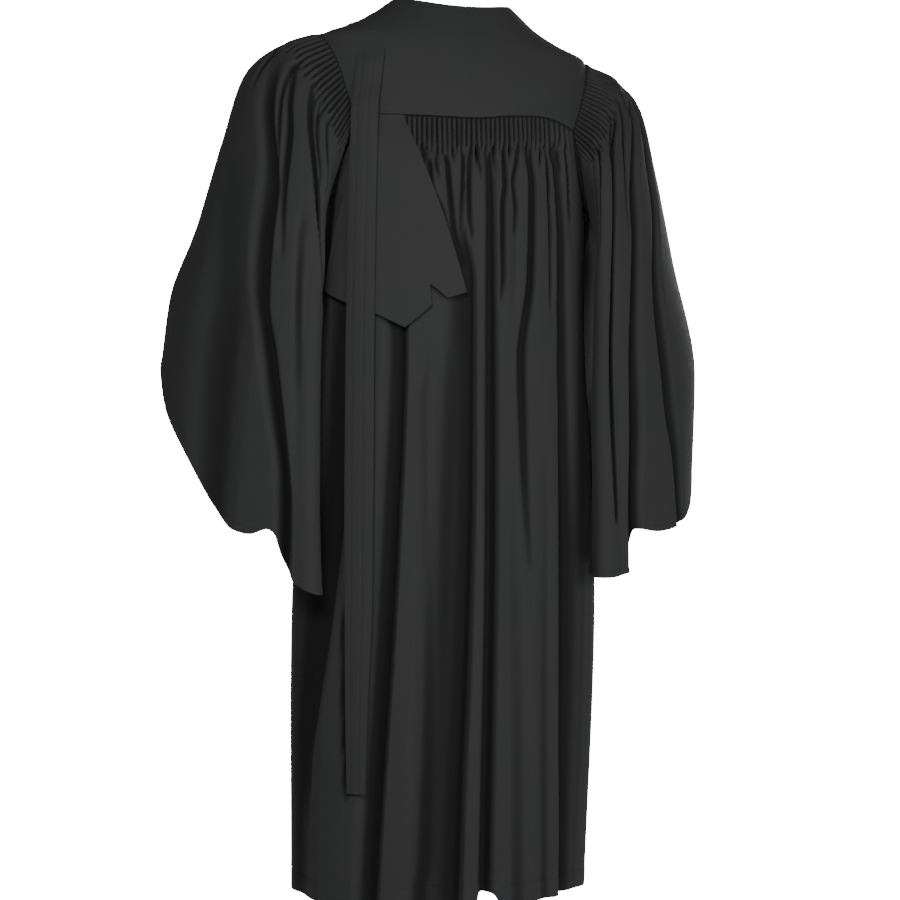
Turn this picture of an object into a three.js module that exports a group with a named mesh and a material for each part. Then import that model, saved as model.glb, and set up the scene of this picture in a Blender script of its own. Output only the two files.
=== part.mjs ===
// A barrister's gown, worn, seen as a hollow shell of cloth. Millimetres.
// +X is the wearer's left, -Y the front, +Z up. The origin is the middle of the neck,
// level with the points where the yoke rests on the shoulders beside the neck.
import * as THREE from 'three';

const { clamp, lerp, smoothstep, degToRad } = THREE.MathUtils;

// Driving sizes
const napeDrop = 14;              // the back of the neck edge lies this far under its sides
const bodyLength = 1216;          // nape to hem
const hemDrop = napeDrop + bodyLength;
const wall = 2;                   // the cloth
const seamGap = 0.4;              // between pieces that are sewn together
const roundness = 2.3;            // power of the body's rounded outline
const neckHalfWidth = 86;
const backSeamDrop = 175;         // the straight seam under the back of the yoke
const underarmDrop = 290;
const bandLength = 47;            // the row of gathers under the yoke and at the sleeve heads
const fluteHalfDepth = 2.1;
const frontEdge = { neck: 84, seamDrop: 50, chest: 66, chestDrop: 250, hem: 50 };
const frontSeamOuterDrop = 105;
const rightShoulderLower = 9;     // the gown sits a little lower on the wearer's right
const sleeveClearance = 7;        // a sleeve hangs this clear of the folds of the body

// The worn body of the gown at drops below the neck: half width, depths and sideways shift of its outline
const body = [
  { at: 0, wide: 86, back: 58, front: 50, shift: 0 },
  { at: 28, wide: 124, back: 71, front: 60, shift: 0 },
  { at: 44, wide: 159, back: 78, front: 68, shift: 0 },
  { at: 62, wide: 199, back: 85, front: 76, shift: 0 },
  { at: 118, wide: 203, back: 99, front: 92, shift: 0 },
  { at: 175, wide: 204, back: 108, front: 103, shift: 0 },
  { at: 290, wide: 196, back: 116, front: 108, shift: 0 },
  { at: 400, wide: 194, back: 122, front: 111, shift: 0 },
  { at: 640, wide: 200, back: 134, front: 118, shift: 2 },
  { at: 840, wide: 205, back: 142, front: 126, shift: 5 },
  { at: 1230, wide: 196, back: 150, front: 138, shift: 9 },
];

// The armholes: how far out the back seam ends and how square the curve is, behind and in front
const shoulderDrop = 58;
const sides = {
  left: { sign: 1, backAcross: 150, backCurve: 0.24, frontAcross: 158, frontCurve: 0.5 },
  right: { sign: -1, backAcross: 163, backCurve: 0.55, frontAcross: 158, frontCurve: 0.5 },
};

// A value between the rows of a table, smooth and without overshoot
function between(rows, column, place) {
  const last = rows.length - 1;
  let k = 0;
  while (k < last - 1 && place > rows[k + 1].at) k += 1;
  const secant = (i) => (rows[i + 1][column] - rows[i][column]) / (rows[i + 1].at - rows[i].at);
  const slope = (i) => {
    if (i === 0) return secant(0);
    if (i === last) return secant(last - 1);
    const [before, after] = [secant(i - 1), secant(i)];
    return before * after > 0 ? (2 * before * after) / (before + after) : 0;
  };
  const span = rows[k + 1].at - rows[k].at;
  const t = clamp((place - rows[k].at) / span, 0, 1);
  const rise = t * t * (3 - 2 * t);
  return lerp(rows[k][column], rows[k + 1][column], rise)
    + span * slope(k) * t * (1 - t) ** 2
    - span * slope(k + 1) * t * t * (1 - t);
}

// A point of the body at a turn in degrees: 0 the wearer's left, 90 the back, 180 the right, 270 the front
function bodyPoint(turn, drop) {
  const [c, s] = [Math.cos(degToRad(turn)), Math.sin(degToRad(turn))];
  const deep = between(body, s > 0 ? 'back' : 'front', drop);
  const across = between(body, 'wide', drop) * Math.sign(c) * Math.abs(c) ** (2 / roundness);
  const lower = rightShoulderLower * smoothstep(-across, 0, neckHalfWidth)
    * smoothstep(drop, 0, shoulderDrop) * (1 - 0.8 * smoothstep(drop, shoulderDrop, backSeamDrop));
  return new THREE.Vector3(
    across + between(body, 'shift', drop),
    deep * Math.sign(s) * Math.abs(s) ** (2 / roundness),
    -drop - lower,
  );
}

// The turn, from the side, at which the body is this far across
function turnAcross(across, drop) {
  const share = clamp(Math.abs(across) / between(body, 'wide', drop), 0, 1);
  return (Math.acos(share ** (roundness / 2)) * 180) / Math.PI;
}

// How far round the body, from its side, the armhole's back or front edge lies at a drop
function armholeTurn(side, drop, face) {
  const most = turnAcross(face === 'back' ? side.backAcross : side.frontAcross, backSeamDrop);
  if (drop < backSeamDrop) {
    const share = clamp((drop - shoulderDrop) / (backSeamDrop - shoulderDrop), 0, 1);
    return most * share ** (face === 'back' ? side.backCurve : side.frontCurve);
  }
  const share = clamp((drop - backSeamDrop) / (underarmDrop - backSeamDrop), 0, 1);
  return most * Math.sqrt(1 - share * share);
}

// A turn measured back or forward from one side of the body, as a turn round the whole body
function turnOn(side, fromSide, face) {
  const signed = face === 'back' ? fromSide : -fromSide;
  return side.sign > 0 ? signed : 180 - signed;
}

// Columns of points spread by length along a curve, which starts and ends a trim short
function evenly(curve, shares, trim = 0) {
  const steps = 72;
  const points = Array.from({ length: steps + 1 }, (_, i) => curve(i / steps));
  const lengths = [0];
  for (let i = 1; i <= steps; i += 1) lengths.push(lengths[i - 1] + points[i].distanceTo(points[i - 1]));
  return shares.map((share) => {
    const goal = lerp(trim, lengths[steps] - trim, share);
    let i = 1;
    while (i < steps && lengths[i] < goal) i += 1;
    const part = (goal - lengths[i - 1]) / (lengths[i] - lengths[i - 1]);
    return points[i - 1].clone().lerp(points[i], part);
  });
}

// One soft trough: 1 on its line, 0 beyond its reach before and after that line
function trough(distance, before, after) {
  const x = clamp(Math.abs(distance) / (distance < 0 ? before : after), 0, 1);
  return (1 - x * x) ** 2;
}

// How deep the troughs of a table press the cloth in, at a spot across it and a place down it.
// A trough's line gives its spot and depth at places; unit turns spots into millimetres.
function troughs(table, spot, place, unit = 1) {
  return table.reduce((sum, fold) => {
    const [first, last] = [fold.line[0].at, fold.line.at(-1).at];
    const begun = smoothstep(place, first - fold.fade, first);
    const inside = begun * (1 - smoothstep(place, last, last + fold.fade));
    if (inside === 0) return sum;
    const distance = (spot - between(fold.line, 'spot', place)) * unit;
    return sum + between(fold.line, 'deep', place) * inside * trough(distance, fold.before, fold.after);
  }, 0);
}

// A wall of cloth. Each row has points on the middle of the cloth, and how far each stands out from them.
function clothWall(name, material, rows, { closed = false, flipped = false } = {}) {
  const sheets = [wall / 2, -wall / 2].map((half) => rows.map((row) => row.points.map((point, i) => (
    point.clone().addScaledVector(row.normals[i], row.relief[i] + half)
  ))));
  const positions = [];
  const index = [];
  const numbered = sheets.map((sheet) => sheet.map((row) => row.map((point) => {
    positions.push(point.x, point.y, point.z);
    return positions.length / 3 - 1;
  })));
  const face = (a, b, c, turned) => index.push(...(turned !== flipped ? [a, c, b] : [a, b, c]));
  const zip = (upper, lower, upperShares, lowerShares, turned) => {
    let [i, j] = [0, 0];
    while (i < upper.length - 1 || j < lower.length - 1) {
      const upperNext = i < upper.length - 1 ? upperShares[i + 1] : Infinity;
      const lowerNext = j < lower.length - 1 ? lowerShares[j + 1] : Infinity;
      if (upperNext <= lowerNext) {
        face(upper[i], lower[j], upper[i + 1], turned);
        i += 1;
      } else {
        face(upper[i], lower[j], lower[j + 1], turned);
        j += 1;
      }
    }
  };
  const ring = (list, extra) => (closed ? [...list, extra ?? list[0]] : list);
  const [outer, inner] = numbered;
  for (let r = 0; r < rows.length - 1; r += 1) {
    const shares = [rows[r].shares, rows[r + 1].shares].map((list) => ring(list, 1));
    zip(ring(outer[r]), ring(outer[r + 1]), ...shares, false);
    zip(ring(inner[r]), ring(inner[r + 1]), ...shares, true);
  }
  for (const [r, turned] of [[0, true], [rows.length - 1, false]]) {
    const shares = ring(rows[r].shares, 1);
    zip(ring(outer[r]), ring(inner[r]), shares, shares, turned);
  }
  if (!closed) {
    const places = rows.map((_, r) => r);
    zip(outer.map((row) => row[0]), inner.map((row) => row[0]), places, places, false);
    zip(outer.map((row) => row.at(-1)), inner.map((row) => row.at(-1)), places, places, true);
  }
  const geometry = new THREE.BufferGeometry();
  geometry.setAttribute('position', new THREE.Float32BufferAttribute(positions, 3));
  geometry.setIndex(index);
  geometry.computeVertexNormals();
  const mesh = new THREE.Mesh(geometry, material);
  mesh.name = name;
  return mesh;
}

// The smooth outward direction at each point, from the points beside, above and below it.
// A sheet's rows run from the wearer's left round the back to the right, so out is down cross along.
function addNormals(rows, { closed = false, mirrored = false } = {}) {
  const pointAt = (row, share) => {
    const list = row.shares;
    const count = list.length;
    const wrapped = closed ? share - Math.floor(share) : clamp(share, list[0], list.at(-1));
    let i = 0;
    while (i < count - 1 && list[i + 1] <= wrapped) i += 1;
    if (i === count - 1 && !closed) return row.points[i];
    const next = (i + 1) % count;
    const span = (i === count - 1 ? 1 : list[next]) - list[i];
    return row.points[i].clone().lerp(row.points[next], (wrapped - list[i]) / span);
  };
  const reach = 0.02;
  rows.forEach((row, r) => {
    row.normals = row.points.map((_, i) => {
      const share = row.shares[i];
      const along = pointAt(row, share + reach).clone().sub(pointAt(row, share - reach));
      const above = pointAt(rows[Math.max(r - 1, 0)], share);
      const down = pointAt(rows[Math.min(r + 1, rows.length - 1)], share).clone().sub(above);
      const normal = down.cross(along).normalize();
      return mirrored ? normal.negate() : normal;
    });
  });
  return rows;
}

const shareList = (count) => Array.from({ length: count + 1 }, (_, i) => i / count);

// Yoke: one horseshoe over the shoulders, from the neck edge to the armholes and the seams
function yokeRows() {
  const columns = { front: 4, shoulder: 7, back: 14 };
  const rowCount = 7;
  const onBody = (across, drop, face, sign) => {
    const side = sign > 0 ? sides.left : sides.right;
    return bodyPoint(turnOn(side, turnAcross(across, drop), face), drop);
  };
  const neckEdge = (across) => {
    const drop = napeDrop * (1 - (across / neckHalfWidth) ** 2);
    return { across, drop };
  };
  const halfColumns = (side) => {
    const list = [];
    for (let i = 0; i < columns.front; i += 1) {
      const t = i / columns.front;
      const drop = lerp(frontSeamOuterDrop, shoulderDrop, t);
      const neckDrop = frontEdge.seamDrop * (1 - t);
      list.push({
        inner: { across: lerp(frontEdge.neck, neckHalfWidth, t), drop: neckDrop, face: 'front' },
        outer: { turn: armholeTurn(side, drop, 'front'), drop, face: 'front' },
      });
    }
    for (let i = 0; i < columns.shoulder; i += 1) {
      const t = i / columns.shoulder;
      const drop = lerp(shoulderDrop, backSeamDrop, t);
      list.push({
        inner: { ...neckEdge(lerp(neckHalfWidth, neckHalfWidth * 0.74, t)), face: 'back' },
        outer: { turn: armholeTurn(side, drop, 'back'), drop, face: 'back' },
      });
    }
    return list;
  };
  const place = (side, end) => {
    const across = end.across ?? Math.abs(bodyPoint(turnOn(side, end.turn, end.face), end.drop).x);
    return { across, drop: end.drop };
  };
  const lines = [];
  for (const side of [sides.left, sides.right]) {
    const half = halfColumns(side).map(({ inner, outer }) => {
      const [a, b] = [place(side, inner), place(side, outer)];
      return (t) => onBody(lerp(a.across, b.across, t), lerp(a.drop, b.drop, t), inner.face, side.sign);
    });
    lines.push(half);
  }
  const middle = Array.from({ length: columns.back + 1 }, (_, i) => {
    const t = i / columns.back;
    const start = lerp(neckHalfWidth * 0.74, -neckHalfWidth * 0.74, t);
    const end = lerp(sides.left.backAcross, -sides.right.backAcross, t);
    const top = neckEdge(start);
    return (v) => {
      const across = lerp(top.across, end, v);
      return onBody(across, lerp(top.drop, backSeamDrop, v), 'back', Math.sign(across) || 1);
    };
  });
  const all = [...lines[0], ...middle, ...lines[1].reverse()];
  const shares = shareList(all.length - 1);
  return shareList(rowCount).map((v) => ({ shares, points: all.map((line) => line(v)) }));
}

// How far the folds stand out from the body, at drops below the neck
const swell = [
  { at: backSeamDrop, out: 0 },
  { at: 240, out: 3 },
  { at: 330, out: 7 },
  { at: 640, out: 12 },
  { at: hemDrop, out: 15 },
];

// Troughs between the folds of the back. A spot is millimetres round from the middle, to the wearer's left.
const backFolds = [
  { fade: 60, before: 20, after: 34, line: [
    { at: 700, spot: 178, deep: 10 }, { at: 830, spot: 200, deep: 13 }, { at: 967, spot: 220, deep: 15 },
    { at: hemDrop, spot: 236, deep: 15 }] },
  { fade: 90, before: 15, after: 22, line: [
    { at: 330, spot: 85, deep: 5 }, { at: 500, spot: 88, deep: 12 }, { at: 760, spot: 98, deep: 15 },
    { at: 892, spot: 105, deep: 16 }, { at: hemDrop, spot: 102, deep: 17 }] },
  { fade: 60, before: 13, after: 46, line: [
    { at: 303, spot: 2, deep: 6 }, { at: 397, spot: -5, deep: 9 }, { at: 625, spot: -4, deep: 14 },
    { at: 891, spot: 3, deep: 16 }, { at: 1090, spot: 17, deep: 17 },
    { at: hemDrop, spot: 19, deep: 17 }] },
  { fade: 40, before: 12, after: 12, line: [
    { at: 239, spot: -32, deep: 6 }, { at: 395, spot: -33, deep: 9 }, { at: 691, spot: -34, deep: 14 },
    { at: hemDrop, spot: -31, deep: 16 }] },
  { fade: 160, before: 16, after: 16, line: [
    { at: 231, spot: -93, deep: 6 }, { at: 389, spot: -92, deep: 8 }, { at: 500, spot: -77, deep: 9 },
    { at: 620, spot: -80, deep: 5 }] },
  { fade: 40, before: 34, after: 12, line: [
    { at: 224, spot: -136, deep: 6 }, { at: 445, spot: -139, deep: 11 },
    { at: 753, spot: -142, deep: 15 },
    { at: 1000, spot: -146, deep: 15 }, { at: 1110, spot: -180, deep: 15 },
    { at: hemDrop, spot: -220, deep: 15 }] },
  { fade: 50, before: 9, after: 9, line: [
    { at: 262, spot: 52, deep: 5 }, { at: 304, spot: 35, deep: 5 }, { at: 374, spot: 10, deep: 3 }] },
  { fade: 40, before: 9, after: 9, line: [
    { at: 237, spot: -53, deep: 5 }, { at: 299, spot: -50, deep: 5 }, { at: 394, spot: -49, deep: 3 }] },
  { fade: 50, before: 9, after: 9, line: [
    { at: 227, spot: -120, deep: 4 }, { at: 329, spot: -124, deep: 4 },
    { at: 380, spot: -124, deep: 2 }] },
];

// Under the yoke the cloth hangs straight down, so below the armholes the outer columns spread to the sides
const spread = { columns: 0.12, under: 0.255, from: backSeamDrop, to: underarmDrop, atHem: 0.23 };
function spreadShare(share, drop) {
  const edge = Math.min(share, 1 - share);
  const atUnderarm = lerp(spread.columns, spread.under, smoothstep(drop, spread.from, spread.to));
  const reach = lerp(atUnderarm, spread.atHem, smoothstep(drop, spread.to, hemDrop));
  const moved = edge < spread.columns
    ? (edge / spread.columns) * reach
    : lerp(reach, 0.5, (edge - spread.columns) / (0.5 - spread.columns));
  return share < 0.5 ? moved : 1 - moved;
}

// The share of a row's length at which it crosses the middle of the back
function middleSpot(points, spots) {
  const i = points.findIndex((point) => point.x < 0);
  const part = points[i - 1].x / (points[i - 1].x - points[i].x);
  return lerp(spots[i - 1], spots[i], part);
}

// The back: gathered under the yoke, then folds to the hem
function backRows() {
  const flutes = 41;
  const shares = shareList(flutes * 2);
  const bandEnd = backSeamDrop + bandLength;
  const drops = [backSeamDrop + seamGap, bandEnd, 248, 290, 350, 430, 540, 660, 800, 940, 1080, hemDrop];
  return drops.map((drop) => {
    const [start, end] = [sides.left, sides.right].map((side) => (
      turnOn(side, armholeTurn(side, drop, 'back'), 'back')
    ));
    const spots = shares.map((share) => spreadShare(share, drop));
    const points = evenly((t) => bodyPoint(lerp(start, end, t), drop), spots, seamGap);
    const length = points.slice(1).reduce((sum, point, i) => sum + point.distanceTo(points[i]), 0);
    const flute = fluteHalfDepth * (1 - smoothstep(drop, bandEnd, 285));
    const middle = middleSpot(points, spots);
    const relief = spots.map((spot, i) => {
      const atSeam = smoothstep(Math.min(spot, 1 - spot), 0, 0.12);
      const fold = between(swell, 'out', drop) - troughs(backFolds, (middle - spot) * length, drop);
      return fold * atSeam + (i % 2 ? flute : -flute) * smoothstep(Math.min(spot, 1 - spot), 0, 0.05);
    });
    return { shares, points, relief };
  });
}

// A front: lightly gathered under the yoke's front, from its open edge to the side seam
const frontFolds = [
  { fade: 80, before: 18, after: 22, line: [
    { at: 240, spot: 0.3, deep: 5 }, { at: 640, spot: 0.3, deep: 12 },
    { at: hemDrop, spot: 0.27, deep: 15 }] },
  { fade: 80, before: 26, after: 18, line: [
    { at: 260, spot: 0.55, deep: 5 }, { at: 640, spot: 0.57, deep: 12 },
    { at: hemDrop, spot: 0.6, deep: 16 }] },
];
const frontLine = [
  { at: frontEdge.seamDrop, across: frontEdge.neck },
  { at: frontEdge.chestDrop, across: frontEdge.chest },
  { at: hemDrop, across: frontEdge.hem },
];
function frontRows(side) {
  const flutes = 8;
  const shares = shareList(flutes * 2 + 4);
  const depths = [0, 0.035, 0.07, 0.12, 0.18, 0.26, 0.36, 0.48, 0.61, 0.74, 0.87, 1];
  return depths.map((depth) => {
    const slant = frontSeamOuterDrop - frontEdge.seamDrop;
    const seam = (share) => frontEdge.seamDrop + 2 * seamGap + slant * share;
    const drop = (share) => lerp(seam(share), hemDrop, depth);
    const edgeAcross = between(frontLine, 'across', drop(0));
    const sideTurn = armholeTurn(side, drop(1), 'front');
    const sideAcross = Math.abs(bodyPoint(turnOn(sides.left, sideTurn, 'front'), drop(1)).x);
    const curve = (t) => {
      const eased = 1 - (1 - t) ** 2;
      const across = lerp(edgeAcross, sideAcross, eased);
      return bodyPoint(turnOn(side, turnAcross(across, drop(eased)), 'front'), drop(eased));
    };
    const points = evenly(curve, shares, seamGap);
    const length = points.slice(1).reduce((sum, point, i) => sum + point.distanceTo(points[i]), 0);
    const flute = fluteHalfDepth * (1 - smoothstep(depth, 0.035, 0.1));
    const relief = shares.map((share, i) => {
      const place = drop(share);
      const atSeam = smoothstep(Math.min(share * 1.5, 1 - share), 0, 0.2);
      const fold = between(swell, 'out', place) - troughs(frontFolds, share, place, length);
      return fold * atSeam + (i % 2 ? flute : -flute) * smoothstep(Math.min(share, 1 - share), 0, 0.1);
    });
    return { shares, points, relief };
  });
}

// Sleeves: four guide lines down each, at shares of the way from the armhole to the hem.
// Each guide's place is outward, back and drop. Round a sleeve, spot 0 is its outer side, 0.25 its back,
// 0.5 the side by the body and 0.75 its front.
const sleeves = {
  left: {
    guides: [
      { at: 0.075, outer: [243, -2, 74], back: [178, 98, 216],
        inner: [208, 2, 318], front: [182, -92, 214] },
      { at: 0.17, outer: [285, -8, 112], back: [196, 112, 268],
        inner: [217, 4, 362], front: [205, -106, 255] },
      { at: 0.32, outer: [313, -12, 205], back: [212, 120, 372],
        inner: [219, 8, 440], front: [236, -112, 325] },
      { at: 0.5, outer: [343, -18, 325], back: [226, 124, 500],
        inner: [219, 15, 545], front: [264, -116, 400] },
      { at: 0.74, outer: [378, -22, 455], back: [238, 126, 640],
        inner: [214, 32, 665], front: [294, -118, 462] },
      { at: 1, outer: [386, -10, 590], back: [248, 126, 790],
        inner: [200, 60, 790], front: [318, -115, 540] },
    ],
    hem: [
      { at: 0, drop: 580 }, { at: 0.06, drop: 634 }, { at: 0.12, drop: 706 }, { at: 0.16, drop: 737 },
      { at: 0.25, drop: 737 }, { at: 0.29, drop: 806 }, { at: 0.36, drop: 820 }, { at: 0.5, drop: 785 },
      { at: 0.65, drop: 690 }, { at: 0.78, drop: 560 }, { at: 0.88, drop: 500 }, { at: 0.94, drop: 520 },
      { at: 1, drop: 580 }],
    folds: [
      { fade: 0.08, before: 32, after: 30, line: [
        { at: 0.2, spot: 0.14, deep: 7 }, { at: 0.34, spot: 0.155, deep: 11 },
        { at: 0.57, spot: 0.2, deep: 15 },
        { at: 0.8, spot: 0.25, deep: 18 }, { at: 1, spot: 0.268, deep: 20 }] },
      { fade: 0.15, before: 60, after: 46, line: [
        { at: 0.4, spot: 0.075, deep: 5 }, { at: 0.6, spot: 0.115, deep: 8 },
        { at: 1, spot: 0.12, deep: 8 }] },
      { fade: 0.08, before: 12, after: 12, line: [
        { at: 0.2, spot: 0.18, deep: 6 }, { at: 0.4, spot: 0.2, deep: 4 }] },
      { fade: 0.06, before: 18, after: 18, line: [
        { at: 0.16, spot: 0.22, deep: 8 }, { at: 0.24, spot: 0.265, deep: 8 },
        { at: 0.34, spot: 0.29, deep: 4 }] },
    ],
  },
  right: {
    guides: [
      { at: 0.075, outer: [246, -2, 86], back: [187, 98, 220],
        inner: [208, 2, 326], front: [182, -92, 222] },
      { at: 0.17, outer: [286, -8, 128], back: [203, 112, 268],
        inner: [217, 4, 370], front: [205, -106, 262] },
      { at: 0.32, outer: [315, -12, 215], back: [216, 120, 372],
        inner: [219, 8, 446], front: [236, -112, 330] },
      { at: 0.5, outer: [346, -14, 340], back: [226, 124, 500],
        inner: [219, 15, 548], front: [260, -116, 404] },
      { at: 0.74, outer: [377, -10, 486], back: [238, 126, 640],
        inner: [214, 32, 665], front: [282, -118, 480] },
      { at: 1, outer: [363, -4, 620], back: [248, 126, 780],
        inner: [203, 58, 780], front: [298, -115, 560] },
    ],
    hem: [
      { at: 0, drop: 640 }, { at: 0.06, drop: 708 }, { at: 0.12, drop: 729 }, { at: 0.18, drop: 731 },
      { at: 0.24, drop: 729 }, { at: 0.262, drop: 790 }, { at: 0.36, drop: 796 }, { at: 0.5, drop: 780 },
      { at: 0.65, drop: 690 }, { at: 0.78, drop: 575 }, { at: 0.88, drop: 530 }, { at: 0.94, drop: 560 },
      { at: 1, drop: 640 }],
    folds: [
      { fade: 0.08, before: 30, after: 28, line: [
        { at: 0.2, spot: 0.148, deep: 7 }, { at: 0.35, spot: 0.165, deep: 12 },
        { at: 0.54, spot: 0.205, deep: 15 },
        { at: 0.82, spot: 0.24, deep: 18 }, { at: 1, spot: 0.258, deep: 20 }] },
      { fade: 0.08, before: 20, after: 22, line: [
        { at: 0.18, spot: 0.198, deep: 8 }, { at: 0.34, spot: 0.25, deep: 8 },
        { at: 0.54, spot: 0.295, deep: 7 },
        { at: 0.84, spot: 0.34, deep: 5 }] },
      { fade: 0.08, before: 20, after: 16, line: [
        { at: 0.26, spot: 0.1, deep: 5 }, { at: 0.46, spot: 0.122, deep: 5 },
        { at: 0.7, spot: 0.138, deep: 7 },
        { at: 1, spot: 0.11, deep: 7 }] },
    ],
  },
};
// Both sleeves: the lobe that hangs behind the body, and the folds of the side that faces front
const sleeveFolds = [
  { fade: 0.14, before: 62, after: 80, line: [
    { at: 0.3, spot: 0.33, deep: -8 }, { at: 0.6, spot: 0.33, deep: -12 },
    { at: 1, spot: 0.34, deep: -12 }] },
  { fade: 0.1, before: 26, after: 26, line: [
    { at: 0.2, spot: 0.85, deep: 7 }, { at: 0.6, spot: 0.81, deep: 13 },
    { at: 1, spot: 0.78, deep: 16 }] },
  { fade: 0.1, before: 24, after: 24, line: [
    { at: 0.25, spot: 0.74, deep: 6 }, { at: 0.6, spot: 0.69, deep: 10 },
    { at: 1, spot: 0.66, deep: 12 }] },
  { fade: 0.1, before: 20, after: 20, line: [
    { at: 0.2, spot: 0.92, deep: 4 }, { at: 0.5, spot: 0.9, deep: 5 }] },
];

// The armhole as a closed loop: from the shoulder point down the back to the underarm and up the front
function armholeLoop(side) {
  const fall = underarmDrop - shoulderDrop;
  return (t) => {
    const down = t < 0.5 ? t * 2 : 2 - t * 2;
    const face = t < 0.5 ? 'back' : 'front';
    const drop = shoulderDrop + fall * (1 - Math.cos(Math.PI * down)) / 2;
    return bodyPoint(turnOn(side, armholeTurn(side, drop, face), face), drop);
  };
}

// Moves a point of a sleeve out of the body's folds, where it hangs against them
function clearOfBody(point) {
  const drop = -point.z;
  if (drop < backSeamDrop) return point;
  const clearance = sleeveClearance * smoothstep(drop, backSeamDrop - 10, underarmDrop - 60);
  const out = between(swell, 'out', drop) + clearance;
  const wide = between(body, 'wide', drop) + out;
  const deep = between(body, point.y > 0 ? 'back' : 'front', drop) + out;
  const power = (Math.abs(point.x) / wide) ** roundness + (Math.abs(point.y) / deep) ** roundness;
  const size = power ** (1 / roundness);
  if (size < 1) {
    point.x /= size;
    point.y /= size;
  }
  return point;
}

function sleeveRows(side, { guides, hem, folds }) {
  const flutes = 42;
  const gathered = { from: 0.36, to: 0.66 };      // the underarm stretch of the armhole has no gathers
  const plainColumns = 10;
  const half = Math.round(flutes / 2);
  const headShares = (perFlute) => {
    const list = [];
    for (let i = 0; i < half * perFlute; i += 1) list.push((gathered.from * i) / (half * perFlute));
    for (let i = 0; i < plainColumns; i += 1) list.push(lerp(gathered.from, gathered.to, i / plainColumns));
    for (let i = 0; i < half * perFlute; i += 1) list.push(lerp(gathered.to, 1, i / (half * perFlute)));
    return list;
  };
  const [fine, coarse] = [headShares(2), headShares(1)];
  const corner = (row, name) => new THREE.Vector3(row[name][0] * side.sign, row[name][1], -row[name][2]);
  const loop = armholeLoop(side);
  const quarter = ['outer', 'back', 'inner', 'front'].map((_, i) => evenly(loop, [i / 4])[0]);
  const table = [{ at: 0 }, ...guides].map((row) => {
    const four = row.at === 0 ? quarter : ['outer', 'back', 'inner', 'front'].map((name) => corner(row, name));
    return Object.fromEntries([['at', row.at], ...four.flatMap((p, i) => (
      [[`x${i}`, p.x], [`y${i}`, p.y], [`z${i}`, p.z]]
    ))]);
  });
  const ringPoint = (share, place) => {
    const four = [0, 1, 2, 3].map((i) => new THREE.Vector3(
      between(table, `x${i}`, place),
      between(table, `y${i}`, place),
      between(table, `z${i}`, place),
    ));
    const [outer, back, inner, front] = four;
    const angle = 2 * Math.PI * share;
    const middle = outer.clone().add(back).add(inner).add(front).multiplyScalar(0.25);
    const skew = outer.clone().add(inner).sub(back).sub(front).multiplyScalar(0.25 * Math.cos(2 * angle));
    return middle.add(skew)
      .addScaledVector(outer.clone().sub(inner), Math.cos(angle) / 2)
      .addScaledVector(back.clone().sub(front), Math.sin(angle) / 2);
  };
  const rows = [
    [0, fine], [0.075, fine], [0.11, fine], [0.16, coarse], [0.24, coarse], [0.34, coarse], [0.46, coarse],
    [0.6, coarse], [0.74, coarse], [0.87, coarse], [1, coarse],
  ];
  const ringOnSeam = (place, shares) => {
    const fromArmhole = 1 - smoothstep(place, 0, 0.3);
    const seamPoints = evenly(loop, shares);
    const atHem = clamp((place - 0.45) / 0.55, 0, 1) ** 2;
    return shares.map((share, i) => {
      const away = seamPoints[i].clone().sub(ringPoint(share, 0)).multiplyScalar(fromArmhole);
      const longer = -between(hem, 'drop', share) - ringPoint(share, 1).z;
      const point = ringPoint(share, place).add(away);
      point.z += longer * atHem;
      return point;
    });
  };
  return rows.map(([place, shares]) => {
    const points = ringOnSeam(place, shares);
    if (place === 0) {
      const next = ringOnSeam(rows[1][0], shares);
      points.forEach((point, i) => {
        const outOfBody = new THREE.Vector3(point.x, point.y * 1.6, 0).normalize();
        const direction = next[i].sub(point).normalize();
        const alongBody = 1 - direction.dot(outOfBody) ** 2;
        const start = point.y > 0 ? backSeamDrop - 10 : frontSeamOuterDrop;
        const below = smoothstep(-point.z, start, start + 40);
        point.addScaledVector(direction, 3.4 * seamGap);
        point.addScaledVector(outOfBody, alongBody * below * (wall + fluteHalfDepth + seamGap));
      });
    } else {
      points.forEach(clearOfBody);
    }
    const around = points.reduce((sum, point, i) => sum + point.distanceTo(points.at(i - 1)), 0);
    const allFolds = [...folds, ...sleeveFolds];
    const flute = shares === fine ? fluteHalfDepth * (1 - smoothstep(place, 0.075, 0.14)) : 0;
    const relief = shares.map((share, i) => {
      const inGathers = share < gathered.from || share > gathered.to ? 1 : 0;
      return (i % 2 ? flute : -flute) * inGathers - troughs(allFolds, share, place, around);
    });
    return { shares, points, relief };
  });
}

// A point of the body's back, a length round from its middle to the wearer's left
function backAt(around, drop) {
  const steps = 60;
  const goal = around - between(body, 'shift', drop);
  const end = goal > 0 ? 0 : 180;
  let [point, length] = [bodyPoint(90, drop), 0];
  for (let i = 1; i <= steps; i += 1) {
    const next = bodyPoint(lerp(90, end, i / steps), drop);
    const step = next.distanceTo(point);
    if (length + step >= Math.abs(goal)) return point.lerp(next, (Math.abs(goal) - length) / step);
    [point, length] = [next, length + step];
  }
  return point;
}

// How far the middle of a layer of cloth lies out from the body, over the yoke and then over the folds
function layerOut(layer, drop) {
  const onYoke = wall + 2 * seamGap;
  const overFlutes = onYoke + fluteHalfDepth * (1 - smoothstep(drop, backSeamDrop + bandLength, 300));
  const clearance = 1.2 * smoothstep(drop, 200, 300);
  const onFolds = between(swell, 'out', drop) + overFlutes + clearance + layer * onYoke;
  return lerp(onYoke, onFolds, smoothstep(drop, backSeamDrop - 50, backSeamDrop + 2));
}

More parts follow.
